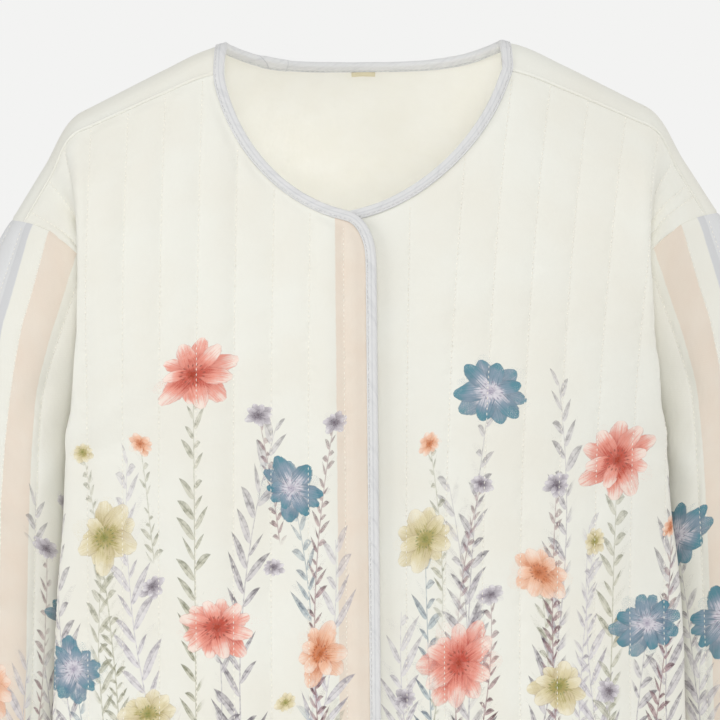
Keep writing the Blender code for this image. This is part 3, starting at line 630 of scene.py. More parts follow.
def sleeve_rings(places):
    """Points at some shares of the way round the armhole and each row of a sleeve."""
    angles = np.linspace(0, 2 * math.pi, LINE_SAMPLES)
    lines = [arm_loop(angles)]
    for row in SLEEVE_ROWS:
        wide = row.x + row.half_wide * np.cos(angles)
        deep = row.y - row.half_deep * np.sin(angles)
        lines.append(np.column_stack([wide, deep, row.z + row.rise * np.cos(angles)]))
    rings = []
    for number, line in enumerate(lines):
        at = places if number else places - LOOP_SHIFT * np.sin(2 * math.pi * places)
        rings.append([np.interp(at, share_round(line), line[:, k], period=1) for k in range(3)])
    return np.array(rings).transpose(0, 2, 1)


# s is a share of the way round
SLEEVE_CREASES = [
    Crease(0.36, 14, 0.14, 96, 9, 2.4),
    Crease(0.40, 40, 0.20, 128, 8, -2.2),
    Crease(0.42, 74, 0.24, 150, 9, 1.9),
    Crease(0.34, 150, 0.10, 188, 12, 1.6),
    Crease(0.12, 236, 0.40, 262, 12, -1.4),
    Crease(0.38, 300, 0.12, 326, 13, 1.3),
    Crease(-0.38, 20, -0.14, 104, 10, 2.2),
    Crease(-0.40, 62, -0.20, 150, 9, -1.9),
    Crease(-0.34, 190, -0.08, 220, 13, 1.5),
    Crease(-0.10, 280, -0.38, 310, 13, -1.2),
]


def sleeve_cloth(seed):
    numbers = np.arange(SLEEVE_CHANNELS) - CHANNELS_BEFORE
    places = SLEEVE_LINE + ((numbers[:, None] + channel_shares()) / SLEEVE_CHANNELS).ravel()
    rings = sleeve_rings(places)
    rings[0] += SEAM_GAP * unit(rings[1] - rings[0])
    around = 2 * math.pi * places
    below = np.clip(PIT_FROM - np.cos(around), 0, 1)
    rings[0] += PIT_GAP * np.column_stack([below, PIT_SPREAD * below * np.sin(around), 0 * below])
    along = run(rings.mean(axis=1))
    v = np.linspace(0, along[-1], round(along[-1] / ROW_STEP) + 1)[:, None] * np.ones(len(places))
    points = np.array([curve(along, rings, row) for row in v])
    ring_way = np.roll(points, -1, axis=1) - np.roll(points, 1, axis=1)
    normals = unit(np.cross(ring_way, np.gradient(points, axis=0)))
    lip = points[:1] - LIP_STEP * unit(points[1:2] - points[:1])
    lip += below[:, None] * LIP - LIP_IN * (1 - below[:, None]) * normals[:1]
    points, normals = np.concatenate([lip, points]), np.concatenate([normals[:1], normals])
    v = np.concatenate([v[:1] - LIP_STEP, v])
    place = np.tile(places, (len(v), 1))
    s = (place - SLEEVE_LINE) * SLEEVE_CHANNELS * CHANNEL
    clear = np.minimum(v, along[-1] - v + 0.5 * SEAM_FADE)
    height = quilted(s, v, 0, EVEN_PUFF, clear, seed) + SLEEVE_SAG * waver(s, v, SLEEVE_SAG_SIZE, seed + 5)
    folds = [c._replace(s=c.s * SLEEVE_ROUND, end_s=c.end_s * SLEEVE_ROUND) for c in SLEEVE_CREASES]
    height += creased(place * SLEEVE_ROUND, v, folds) * fade(0, SLEEVE_CREASE_FADE, v)
    return Cloth(places, place, v, points, normals, height + turned_down(v))


# Meshes from bmesh grids

SAME_POINT, SAME_BEAD_POINT = 1e-7, 1e-6  # metres
SHARP_ANGLE = math.radians(50)


def piece(name, mesh, material, node):
    """An object on the root body that may take the place of a node."""
    thing = bpy.data.objects.new(name, mesh)
    bpy.context.scene.collection.objects.link(thing)
    for each in material if isinstance(material, list) else [material]:
        mesh.materials.append(each)
    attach(thing, "root")
    if node:
        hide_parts(node)
    return thing


def grid_mesh(name, coords, fields, lined=None):
    """A mesh on a bmesh grid whose points are moved to coords; points that then coincide become one."""
    rows, columns = coords.shape[:2]
    work = bmesh.new()
    bmesh.ops.create_grid(work, x_segments=columns - 1, y_segments=rows - 1, size=1)
    mesh = bpy.data.meshes.new(name)
    work.to_mesh(mesh)
    mesh.vertices.foreach_set("co", (coords * MM).ravel())
    for field, values in fields.items():
        layer = mesh.attributes.new(field, "FLOAT_VECTOR", "POINT")
        layer.data.foreach_set("vector", np.ascontiguousarray(values, np.float32).ravel())
    if lined is not None:
        corners = np.zeros(len(mesh.loops), np.int32)
        mesh.loops.foreach_get("vertex_index", corners)
        inside = lined.ravel()[corners].reshape(-1, 4).all(axis=1)
        mesh.polygons.foreach_set("material_index", inside.astype(np.int32))
    work.clear()
    work.from_mesh(mesh)
    bmesh.ops.remove_doubles(work, verts=work.verts, dist=SAME_POINT)
    if work.calc_volume(signed=True) < 0:
        bmesh.ops.reverse_faces(work, faces=work.faces)
    work.to_mesh(mesh)
    work.free()
    mesh.shade_smooth()
    mesh.set_sharp_from_angle(angle=SHARP_ANGLE)
    return mesh


def wrapped(outer, inner, around):
    """One grid over the outside, round the rim and back along the inside."""
    if around:
        rows = np.concatenate([outer, inner[::-1], outer[:1]])
        return np.concatenate([rows, rows[:, :1]], axis=1)
    sides = np.concatenate([outer, inner[:, ::-1], outer[:, :1]], axis=1)
    ends = [np.concatenate([row, row[::-1], row[:1]])[None] for row in (outer[0], outer[-1])]
    return np.concatenate([ends[0], sides, ends[1]])


def wall_mesh(name, cloth, fields, around):
    """A panel's closed wall, with its lining inside; around tells whether its sides meet."""
    flat = {key: wrapped(values, values, around) for key, values in fields.items()}
    sides = wrapped(np.zeros(cloth.s.shape), np.ones(cloth.s.shape), around)
    return grid_mesh(name, wrapped(cloth.outer(), cloth.inner(), around), flat, sides > 0.5)


# Binding, tab and stitches

BIND_STEP, BIND_SMOOTHING = 3.0, 3  # way from section to section, and rounds that even them out
BIND_ROW, BIND_ROW_INSIDE = 3, 23  # places of the stitched groove in the strip's outline
BIND_MIDDLE, ROUND_STEP = 7.8, 1.3  # where, round the strip, a fine line shows along it, and each place's way
RIM_BASE = 4.0  # inwards from the edge, where the rim's direction is taken from
WRINKLE, WRINKLE_LONG = 0.34, 9.0  # of the strip
# The strip's ends lap on the back neck, cut on a slant, and it is so much fuller there
LAP_X, LAP_ROUND, LAP_SLANT, LAP_LONG, LAP_SWELL = -78.0, 18.0, 0.75, 22.0, 0.12
INSIDE_ROW_DEPTH = 40.0  # the stitch row inside the strip shows down to here
TAB_UNDER, TAB_SAG, TAB_RIPPLE, TAB_RIPPLE_LONG = 0.5, 0.4, 0.15, 9.0  # the tab's top is under the strip

STITCH_LONG, STITCH_GAP, STITCH_THICK = 2.8, 1.1, 0.9
STITCH_START, STITCH_AIM = 1.0, 0.6  # a line's first stitch starts here; each is aimed along so much of it
STITCH_PROUD, BIND_PROUD = 0.02, 0.25  # how far stitches stand out of the cloth, and more so on the binding
LEAST_ROWS = 4  # a stitch line crosses more rows than this
# A stitch is two cones, end to end
HALF_BEADS = [
    Matrix.Translation((side / 2, 0, 0)) @ Matrix.Rotation(side * math.pi / 2, 4, "Y") for side in (1, -1)
]


def on_front(side, lift):
    """A function giving a point of one plain front, moved out by a height."""
    def place(s, v, out):
        s, v = np.asarray(s, float), np.minimum(v, FRONT.top)
        point = FRONT.points(s, v) + FRONT.normals(s, v) * np.asarray(out)[..., None]
        point[..., 1] -= lifted(s, lift)
        return point * [side, 1, 1]

    return place


def on_back(s, v, out):
    s, v = np.asarray(s, float), np.minimum(v, BACK.top)
    return BACK.points(s, v) + BACK.normals(s, v) * np.asarray(out)[..., None]


def bind_outline():
    """(depth in from the edge, height above the cloth's outer face) of each place round the strip."""
    over = BIND_GAP + BIND_WALL
    depth = np.array([1, 0.96, 0.87, 0.78, 0.7, 0.56, 0.38, 0.2, 0.07]) * BIND_WIDTH
    swell = np.array([0.3, 0.78, 0.9, 0.55, 0.9, 1.06, 1.1, 1.08, 1.02]) * over
    turn = np.linspace(math.pi / 2, -math.pi / 2, 9)
    half = WALL / 2 + over
    outside = list(zip(depth, swell))
    rim = [(-over * math.cos(a), -WALL / 2 + half * math.sin(a)) for a in turn]
    inside = [(d, -WALL - lift) for d, lift in reversed(outside)]
    hollow = [(BIND_WIDTH, -WALL - 0.2), (3.0, -WALL - 0.3), (-0.4, -WALL / 2), (3.0, 0.3), (BIND_WIDTH, 0.2)]
    return np.array(outside + rim + inside + hollow)


def bind_sections(place, path, seed):
    """The strip's outline at every step of a path on one panel."""
    path = resampled(path, BIND_STEP)
    way = unit(np.gradient(path, axis=0))
    into = np.column_stack([way[:, 1], -way[:, 0]])
    along = run(path)
    sections = []
    for depth, lift in bind_outline():
        bent = path + into * max(depth, 0)
        wrinkle = WRINKLE * waver(along + depth * 1.5, np.full(len(along), depth * 2.0), WRINKLE_LONG, seed)
        edge = place(bent[:, 0], bent[:, 1], np.full(len(path), lift) + wrinkle * fade(-WALL, 0.5, lift))
        if depth < 0:
            back = path + into * RIM_BASE
            edge = edge + unit(edge - place(back[:, 0], back[:, 1], np.full(len(path), lift))) * -depth
        sections.append(edge)
    return np.array(sections).transpose(1, 0, 2)


def past_lap(sections):
    """How far each section lies past the join of the strip's two ends."""
    middle = sections.mean(axis=1)
    along = run(middle)
    return along - along[np.argmin(np.abs(middle[:, 0] - LAP_X) + np.abs(middle[:, 2]))]


def bind_sections_all():
    """The whole strip: up one front, round the neck and down the other front."""
    strips = [
        bind_sections(on_front(-1, LEFT_FRONT.lift), front_path(LEFT_FRONT), 41),
        bind_sections(on_back, back_path(), 42),
        bind_sections(on_front(1, RIGHT_FRONT.lift), front_path(RIGHT_FRONT), 43)[::-1],
    ]
    sections = np.concatenate(strips)
    for _ in range(BIND_SMOOTHING):
        sections[1:-1] = sections[1:-1] * 0.5 + (sections[:-2] + sections[2:]) * 0.25
    past = past_lap(sections)
    double = fade(0, 3, past) * (1 - fade(LAP_LONG - 1, LAP_LONG + 2, past))
    return sections + LAP_SWELL * double[:, None, None] * (sections - sections.mean(axis=1, keepdims=True))


def bind_stitches(sections):
    """The stitch row on the outside of the strip, and the one that shows inside the back neck."""
    out = unit(sections[:, BIND_ROW] - sections[:, BIND_ROW_INSIDE])
    inside = np.abs(sections[:, BIND_ROW_INSIDE, 2]) < INSIDE_ROW_DEPTH
    shown, hidden = sections[:, BIND_ROW] + out * BIND_PROUD, sections[:, BIND_ROW_INSIDE] - out * BIND_PROUD
    return [(shown, out), (hidden[inside], -out[inside])]


def bind_mesh(sections):
    """The strip, closed at both ends. It carries the way along it, round it, and past its lapped join."""
    ring = np.concatenate([sections, sections[:, :1]], axis=1)
    along = run(sections.mean(axis=1))[:, None] * np.ones(ring.shape[1])
    round_it = np.tile(np.arange(ring.shape[1]) * ROUND_STEP, (len(ring), 1))
    caps = [np.repeat(row.mean(axis=0)[None, None], ring.shape[1], axis=1) for row in (ring[0], ring[-1])]
    coords = np.concatenate([caps[0], ring, caps[1]])
    past = np.tile(past_lap(sections)[:, None], ring.shape[1])
    fields = np.stack([along, round_it, past], axis=-1)
    fields = np.concatenate([fields[:1], fields, fields[-1:]])
    return grid_mesh("edge_binding", coords, {"cloth": fields})


def tab_mesh():
    """The tab inside the back neck, hanging from under the strip."""
    s = np.linspace(-TAB_HALF, TAB_HALF, 25)
    high = back_top(0) - BIND_WIDTH + TAB_UNDER
    v = np.linspace(high - TAB_TALL, high, 9)
    s, v = np.meshgrid(s, v)
    sag = TAB_SAG * np.sin(math.pi * (high - v) / TAB_TALL) + TAB_RIPPLE * waver(s, v, TAB_RIPPLE_LONG, 7)
    low = on_back(s, v, -WALL - TAB_GAP - TAB_WALL - sag)
    top = on_back(s, v, -WALL - TAB_GAP + 0 * sag)
    fields = np.stack([s, v, 0 * s], axis=-1)
    return grid_mesh("neck_tab", wrapped(low, top, False), {"cloth": wrapped(fields, fields, False)})


def stitch_frames(line, out):
    """Where the stitches of a line lie: centre, direction along, and direction out."""
    along = run(line)
    half, step = STITCH_LONG / 2, STITCH_LONG + STITCH_GAP
    middles = np.arange(half + STITCH_START, along[-1] - half, step)
    ahead = points_along(line, along, middles + STITCH_AIM)
    behind = points_along(line, along, middles - STITCH_AIM)
    facing = points_along(out, along, middles)
    return points_along(line, along, middles), unit(ahead - behind), unit(facing)


def stitch_mesh(name, lines):
    """All stitches of one piece as small long beads, each about half sunk in the cloth."""
    mesh = bpy.data.meshes.new(name)
    whole = bmesh.new()
    size = Matrix.Diagonal((STITCH_LONG / 2 * MM, STITCH_THICK / 2 * MM, STITCH_THICK / 2 * MM, 1))
    for line, out in lines:
        work = bmesh.new()
        for centre, along, facing in zip(*stitch_frames(line, out)):
            side = Vector(facing).cross(Vector(along)).normalized()
            turn = Matrix((along, side, Vector(along).cross(side))).transposed().to_4x4()
            turn.translation = (centre + facing * STITCH_PROUD) * MM
            for half in HALF_BEADS:
                bmesh.ops.create_cone(
                    work, segments=4, cap_ends=False, radius1=1, radius2=0, depth=1, matrix=turn @ size @ half
                )
        bmesh.ops.remove_doubles(work, verts=work.verts, dist=SAME_BEAD_POINT)
        part = bpy.data.meshes.new("stitch_line")
        work.to_mesh(part)
        work.free()
        whole.from_mesh(part)
        bpy.data.meshes.remove(part)
    whole.to_mesh(mesh)
    whole.free()
    mesh.shade_smooth()
    return mesh


def column_lines(cloth, wanted, mask):
    """(points, directions out) up the columns of a panel that lie on its stitch lines."""
    outer = cloth.outer()
    found = []
    for place in wanted:
        column = int(np.argmin(np.abs(cloth.columns - place)))
        keep = mask[:, column]
        if keep.sum() > LEAST_ROWS:
            found.append((outer[keep, column], cloth.normals[keep, column]))
    return found


# Shaders

TONE_STEPS = 8  # most colours in a list of inks
CLOTH_SPECULAR = 0.25


def colour(code):
    """Linear colour of a six digit code."""
    parts = [int(code[k:k + 2], 16) / 255 for k in (0, 2, 4)]
    return (*(c / 12.92 if c <= 0.04045 else ((c + 0.055) / 1.055) ** 2.4 for c in parts), 1)


class Value:
    """A socket that takes part in sums: each operator adds a Math node to its tree."""

    def __init__(self, tree, socket=None):
        self.tree, self.socket = tree, socket

    def node(self, kind, sockets, output=0, stops=None, **settings):
        """One output of a new node, with its settings, a ramp's stops, and its sockets' values or links."""
        made = self.tree.nodes.new(kind)
        for key, setting in settings.items():
            setattr(made, key, setting)
        if stops:
            ramp = made.color_ramp
            ramp.interpolation = "CONSTANT"
            for place, tone in stops[1:]:
                ramp.elements.new(place).color = tone
            ramp.elements.remove(ramp.elements[-1])
            ramp.elements[0].position, ramp.elements[0].color = stops[0]
        for key, value in sockets.items():
            if isinstance(value, Value):
                self.tree.links.new(value.socket, made.inputs[key])
            else:
                made.inputs[key].default_value = value
        return Value(self.tree, made.outputs[output])

    def math(self, operation, *others):
        return self.node("ShaderNodeMath", dict(enumerate((self, *others))), operation=operation)

    def __add__(self, other):
        return self.math("ADD", other)

    def __sub__(self, other):
        return self.math("SUBTRACT", other)

    def __rsub__(self, other):
        return self.node("ShaderNodeMath", {0: other, 1: self}, operation="SUBTRACT")

    def __mul__(self, other):
        return self.math("MULTIPLY", other)

    def __truediv__(self, other):
        return self.math("DIVIDE", other)

    def __rtruediv__(self, other):
        return self.node("ShaderNodeMath", {0: other, 1: self}, operation="DIVIDE")

    def __pow__(self, other):
        return self.math("POWER", other)

    def __abs__(self):
        return self.math("ABSOLUTE")

    __radd__, __rmul__ = __add__, __mul__

    def floor(self):
        return self.math("FLOOR")

    def least(self, other):
        return self.math("MINIMUM", other)

    def most(self, other):
        return self.math("MAXIMUM", other)

    def above(self, other):
        return self.math("GREATER_THAN", other)

    def step(self, low, high):
        """0 at low and 1 at high, smooth in between."""
        return self.node(
            "ShaderNodeMapRange", {"Value": self, "From Min": low, "From Max": high},
            interpolation_type="SMOOTHSTEP",
        )

    def chance(self):
        """A number between 0 and 1 that goes with this one."""
        return self.node("ShaderNodeTexWhiteNoise", {"W": self}, noise_dimensions="1D")

    def field(self, name):
        """The three numbers that a mesh carries under a name."""
        vector = self.node("ShaderNodeAttribute", {}, "Vector", attribute_name=name)
        split = self.tree.nodes.new("ShaderNodeSeparateXYZ")
        self.tree.links.new(vector.socket, split.inputs[0])
        return [Value(self.tree, split.outputs[k]) for k in range(3)]

    def grain(self, x, y, scale, detail=2.0):
        """Noise from about 0 to 1 over two numbers."""
        place = self.node("ShaderNodeCombineXYZ", {0: x, 1: y})
        return self.node("ShaderNodeTexNoise", {"Vector": place, "Scale": scale, "Detail": detail})

    def over(self, low, high, kind="MIX"):
        """Mixes two colours, this value being the share of the second."""
        return self.node("ShaderNodeMix", {0: self, 6: low, 7: high}, 2, data_type="RGBA", blend_type=kind)

    def tone(self, codes):
        """Picks one of a list of colours by a whole number."""
        stops = [(max(0, (k - 0.5) / TONE_STEPS), colour(code)) for k, code in enumerate(codes)]
        return self.node("ShaderNodeValToRGB", {0: self / TONE_STEPS}, stops=stops)


def fabric(name, roughness, sheen):
    """(material, start of its tree, shader) of a new cloth."""
    material = bpy.data.materials.new(name)
    material.use_nodes = True
    tree = material.node_tree
    shader = tree.nodes["Principled BSDF"]
    shader.inputs["Roughness"].default_value = roughness
    shader.inputs["Sheen Weight"].default_value = sheen
    shader.inputs["Specular IOR Level"].default_value = CLOTH_SPECULAR
    return material, Value(tree), shader


def weave(start, x, y, thread):
    """Height of a plain weave with uneven threads, from about 0 to 1."""
    warp = (x * (math.pi / thread)).math("SINE")
    weft = (y * (math.pi / thread)).math("SINE")
    slub = start.grain(x * 0.25, y * 2.2, 1.0) + start.grain(x * 2.2, y * 0.25, 1.0)
    return warp * weft * 0.3 + slub * 0.5


def connect(start, shader, tint, height, strength, distance):
    """Gives a shader its colour and the fine relief of its threads."""
    bump = start.node("ShaderNodeBump", {"Height": height, "Strength": strength, "Distance": distance})
    start.tree.links.new(bump.socket, shader.inputs["Normal"])
    start.tree.links.new(tint.socket, shader.inputs["Base Color"])


# Printed meadow: leafy stems and open blossoms, placed in tables and drawn by the shader

# A leaf's length and half width, the way from leaf to leaf, the angle of a leaf, and how far it gets
Layer = namedtuple("Layer", "name leaf wide period lean reach")
LAYERS = [
    Layer("foliage", 36, 3.4, 19.0, 33, 25),
    Layer("spray", 24, 2.9, 15.0, 38, 19),
    Layer("sprig", 15, 2.0, 9.6, 40, 13),
]
# tone: 0 grey lilac, 1 pale lilac, 2 sage, 3 plum, 4 peach, 5 slate
DARK_INKS = ["6f6a72", "9f99a2", "7f8069", "542f3a", "d98f6c", "4a5a70"]
PALE_INKS = ["cfcacf", "dedadf", "cbc9b6", "b08d92", "f3d5c1", "a9b8c0"]
# tone: 0 coral, 1 teal, 2 cream, 3 lilac grey, 4 peach; a petal runs from its heart to its rim
HEART_INKS = ["c23a1c", "dad6df", "a79a4e", "7c7480", "cf7540"]
BODY_INKS = ["ee9583", "7c93a8", "ddd0a4", "bcb5be", "f2bb9a"]
RIM_INKS = ["fae6db", "3f8497", "f1e9cf", "e3dfe3", "f9e3d3"]
LINE_INKS = ["b5392a", "2c4a60", "8d6c36", "5f5664", "b9673c"]
EYES = ["8e2f14", "8f86a0", "73813f", "5b4a57", "a0522c"]

Stem = namedtuple("Stem", "layer root_x root_y tip_x tip_y bow tone")
Bloom = namedtuple("Bloom", "x y radius turn squash tone petals")
LARGE_BLOOM = 14.0  # a blossom's radius is above this, a floret's below
FOLIAGE_SPACING, BLOOM_SPACING = 54.0, 16.0
STEM_LEAN, ROOT_SHIFT = 0.08, 14.0  # how far a flower's root lies towards the middle, and at random
STEM_POINTS, STEM_BEYOND, STEM_BOX = 26, 40.0, 60.0  # on a stem's line, drawn out at its ends, and round it
STEM_APART, BLOOM_APART = (8.0, 15.0), (8.0, 14.0)  # a motif fades where the next is almost as near
STEM_RIM, BLOOM_RIM = np.array([4.0, 9.0]), np.array([5.0, 9.0])  # and between these, outside its edge
STEM_END_LONG, STEM_END_GAIN = 0.7, 1.5  # past a stem's ends, in leaves, and how fast it then counts as far
NOWHERE = 1e6  # stands for the distance of a place that no motif is near


def stem_line(stem):
    root, tip = np.array([stem.root_x, stem.root_y], float), np.array([stem.tip_x, stem.tip_y], float)
    way = tip - root
    middle = (root + tip) / 2 + stem.bow * np.array([-way[1], way[0]])
    t = even(STEM_POINTS)
    return (1 - t) ** 2 * root + 2 * t * (1 - t) * middle + t * t * tip


def beside(line, x, y):
    """(distance, way along, signed way across) of places from a line, drawn out straight at both ends."""
    first = line[0] - unit(line[1] - line[0]) * STEM_BEYOND
    last = line[-1] + unit(line[-1] - line[-2]) * STEM_BEYOND
    line = np.vstack([first, line, last])
    starts = run(line) - STEM_BEYOND
    best = np.full(x.shape, np.inf)
    along, across = np.zeros(x.shape), np.zeros(x.shape)
    for a, b, start in zip(line, line[1:], starts):
        long = np.linalg.norm(b - a)
        way = (b - a) / long
        t = (x - a[0]) * way[0] + (y - a[1]) * way[1]
        off = (x - a[0]) * way[1] - (y - a[1]) * way[0]
        distance = np.hypot(np.maximum(np.maximum(-t, t - long), 0), off)
        near = distance < best
        best = np.where(near, distance, best)
        along, across = np.where(near, start + t, along), np.where(near, off, across)
    return best, along, across


def nothing_near(shape):
    """Distances from the nearest motif and the next, its place and its kind, before any is found."""
    return np.full(shape, NOWHERE), np.full(shape, NOWHERE), np.zeros((*shape, 3)), np.zeros((*shape, 3))


def stem_fields(layer, stems, x, y):
    """Per point: way along and across the nearest stem and a mask; then its length, tone and seed."""
    best, second, place, kind = nothing_near(x.shape)
    for number, stem in enumerate(stems):
        line = stem_line(stem)
        long = run(line)[-1]
        low, high = line.min(axis=0) - STEM_BOX, line.max(axis=0) + STEM_BOX
        box = (x > low[0]) & (x < high[0]) & (y > low[1]) & (y < high[1])
        if not box.any():
            continue
        distance, along, across = beside(line, x[box], y[box])
        past = np.maximum(-along, along - long - layer.leaf * STEM_END_LONG)
        distance = np.maximum(distance, past * STEM_END_GAIN)
        near = distance < best[box]
        second[box] = np.where(near, best[box], np.minimum(second[box], distance))
        best[box] = np.where(near, distance, best[box])
        place[box] = np.where(near[:, None], np.column_stack([along, across, 0 * along]), place[box])
        kind[box] = np.where(near[:, None], [long, stem.tone, number * 0.731], kind[box])
    place[..., 2] = fade(*STEM_APART, second - best) * (1 - fade(*(layer.reach + STEM_RIM), best))
    return {layer.name: place, layer.name + "_kind": kind}


def bloom_fields(name, blooms, x, y):
    """Per point: place in the nearest blossom of radius 1, and a mask; then its tone, seed and petals."""
    best, second, place, kind = nothing_near(x.shape)
    for number, bloom in enumerate(blooms):
        turn = math.radians(bloom.turn)
        dx, dy = x - bloom.x, y - bloom.y
        u = (dx * math.cos(turn) + dy * math.sin(turn)) / bloom.radius
        w = (dy * math.cos(turn) - dx * math.sin(turn)) / bloom.radius / bloom.squash
        distance = np.hypot(u, w) * bloom.radius - bloom.radius
        near = distance < best
        second = np.where(near, best, np.minimum(second, distance))
        best = np.where(near, distance, best)
        place = np.where(near[..., None], np.stack([u, w, 0 * u], axis=-1), place)
        kind = np.where(near[..., None], [bloom.tone, number * 0.617 + 0.2, bloom.petals], kind)
    place[..., 2] = fade(*BLOOM_APART, second - best) * (1 - fade(*BLOOM_RIM, best))
    return {name: place, name + "_kind": kind}


def printed(x, y, stems, blooms, bands):
    """What a panel's mesh carries for its print: places on the cloth, bands, stems and blossoms."""
    fields = {"cloth": np.stack([x, y, 0 * x], axis=-1), "bands": bands}
    for layer in LAYERS:
        fields.update(stem_fields(layer, [s for s in stems if s.layer == layer.name], x, y))
    for name, large in (("blossom", True), ("floret", False)):
        fields.update(bloom_fields(name, [b for b in blooms if (b.radius > LARGE_BLOOM) == large], x, y))
    return fields


def leaf_ink(start, layer):
    """(colour, cover) of one layer of leafy stems."""
    along, across, mask = start.field(layer.name)
    long, tone, seed = start.field(layer.name + "_kind")
    lean = math.radians(layer.lean)
    # Cells along the stem, with a leaf in each on either side
    side, out = across.above(0.0), abs(across)
    shift = side * (0.5 * layer.period)
    place = along - out * (1 / math.tan(lean)) + shift
    cell = (place / layer.period).floor()
    luck = (cell * 1.37 + side * 57.3 + seed * 91.7).chance()
    base = (cell + 0.5) * layer.period - shift
    age = base / long
    young = (1 - age * age * 0.62) * (base / (0.25 * layer.period)).step(0.0, 3.0)
    reach = (0.38 + luck * 0.8) * young * layer.leaf
    share = out * (1 / math.sin(lean)) / reach.most(0.5)
    # Shape of the leaf and of the stalk
    curl = (luck * 7.7).chance() - 0.5
    off = (place / layer.period - cell - 0.5) * (layer.period * math.sin(lean)) + curl * share * share * 6.5
    belly = (share.most(0.0) ** 0.62) * ((1 - share).most(0.0) ** 1.05) * 2.9
    wide = belly * (0.45 + luck * 0.6) * layer.wide
    within = age.above(0.02) * (1 - age.above(1.0)) * (1 - share.above(1.0))
    leaf = (wide - abs(off)).step(-0.15, 0.4) * within * (luck.above(0.16))
    stalk_wide = 0.62 - (along / long) * 0.3
    stalk = (stalk_wide - out).step(-0.2, 0.25) * along.above(0.0) * (1 - along.above(long))
    cover = leaf.most(stalk * 0.9)
    # Tones of the leaf, darker at its tip, rim, vein and one side
    rim = (wide - abs(off)).step(1.0, 0.0)
    vein = abs(off).step(0.45, 0.1)
    wash = start.grain(along + seed * 50, across, 0.21, 3.0)
    dark = share * 0.42 + rim * 0.16 + vein * 0.34 + off.above(0.0) * 0.2 + (wash - 0.5) * 1.6 - 0.02
    ink = dark.step(0.0, 0.85).over(tone.tone(PALE_INKS), tone.tone(DARK_INKS))
    grown = (along / long).step(1.25, 0.35)
    return ink, cover * mask * (0.55 + grown * 0.4) * (0.8 + (wash - 0.45) * 0.9)


def petal_ring(start, radius, turn, seed, petals, shift, size):
    """(depth inside, share along, way off its middle line, luck) of one ring of petals."""
    place = turn * petals + shift
    number = place.floor()
    luck = (number.math("FLOORED_MODULO", petals) * 3.17 + seed * 41.3 + shift * 11).chance()
    reach = (0.72 + luck * 0.42) * size
    share = radius / reach
    angle = (place - number - 0.5) / petals * (2 * math.pi)
    off = radius * angle.math("SINE") + (luck - 0.5) * 0.3 * share * share
    spread = (5.4 / petals) * 0.46
    wide = (share.most(0.0) ** 0.7) * ((1 - share * share).most(0.0) ** 0.6) * reach * spread * 1.12
    ruffle = (start.grain(off * 7, share * 4 + seed * 20, 1.0) - 0.5) * 0.22 * share
    return wide - abs(off) + ruffle - share.step(0.98, 1.08), share, off / reach, luck


def blossom_ink(start, name, fine):
    """(colour, cover) of a layer of open blossoms, each two rings of petals round a stippled heart."""
    u, w, mask = start.field(name)
    tone, seed, petals = start.field(name + "_kind")
    radius = (u * u + w * w).math("SQRT")
    turn = w.math("ARCTAN2", u) * (1 / (2 * math.pi)) + 0.5
    heart_ink, body_ink = tone.tone(HEART_INKS), tone.tone(BODY_INKS)
    rim_ink, line_ink = tone.tone(RIM_INKS), tone.tone(LINE_INKS)
    cover = None
    for shift, size, shadow in ((0.5, 1.0, 0.3), (0.0, 0.94, 0.0)):
        inside, share, off, luck = petal_ring(start, radius, turn, seed, petals, shift, size)
        body = inside.step(-0.01, 0.025)
        streak = start.grain(off * 30 + luck * 60, share * 1.6, 1.0, 3.0)
        wash = start.grain(u * 2.6 + luck * 9, w * 2.6 + seed * 9, 1.0, 3.0)
        fall = share + (streak - 0.5) * 0.9 + (wash - 0.5) * 0.9 - shadow * 0.4
        inner = fall.step(0.95, 0.5).over(rim_ink, body_ink)
        inner = fall.step(0.52, 0.16).over(inner, heart_ink)
        veins = streak.step(0.56, 0.68) * share.step(0.95, 0.3) * 0.5
        shade = (off + (luck - 0.5) * 0.2).step(0.02, 0.22) * 0.3 + shadow * share.step(0.9, 0.4)
        outline = inside.step(0.03, 0.0) * (0.35 + wash * 0.5)
        inner = (veins + shade * wash + outline).least(0.8).over(inner, line_ink)
        if cover is None:
            ink, cover = inner, body * 0.92
        else:
            ink = body.over(ink, inner)
            cover = cover.most(body * 0.95)
    # Heart: a stippled eye in a ring of dots
    eye = (radius + (start.grain(u * 14, w * 14, 1.0) - 0.5) * 0.2).step(0.16, 0.06)
    speck = start.grain(u * 22, w * 22 + seed * 5, 1.0).step(0.5, 0.62)
    eyes = tone.tone(EYES)
    ink = (eye * (0.4 + speck * 0.5)).over(ink, eyes)
    ring = abs(radius - 0.25 - (start.grain(turn * 30, seed, 1.0) - 0.5) * 0.2).step(0.045, 0.015)
    dots = ((turn * (fine * 2 * math.pi)).math("SINE")).step(0.1, 0.7) * ring
    ink = (dots * 0.75).over(ink, eyes)
    return ink, cover.most(eye) * mask * 0.96


# Finishes

GROUND_INKS, THREAD_SHADE = ("efefe7", "edebe1"), "d8d3c4"
PEACH_INK, GREY_INK, GREY_SHADE_INK = "e9dbcc", "e0e1e2", "d5d6d8"
GREY_SHADE_START = 0.88  # from here on, the grey band's last share is painted darker, as shade where the cloth slopes
THREAD_WIDE, BUMP_DEEP = 0.55, 0.0006  # millimetres on the cloth, metres in the shader


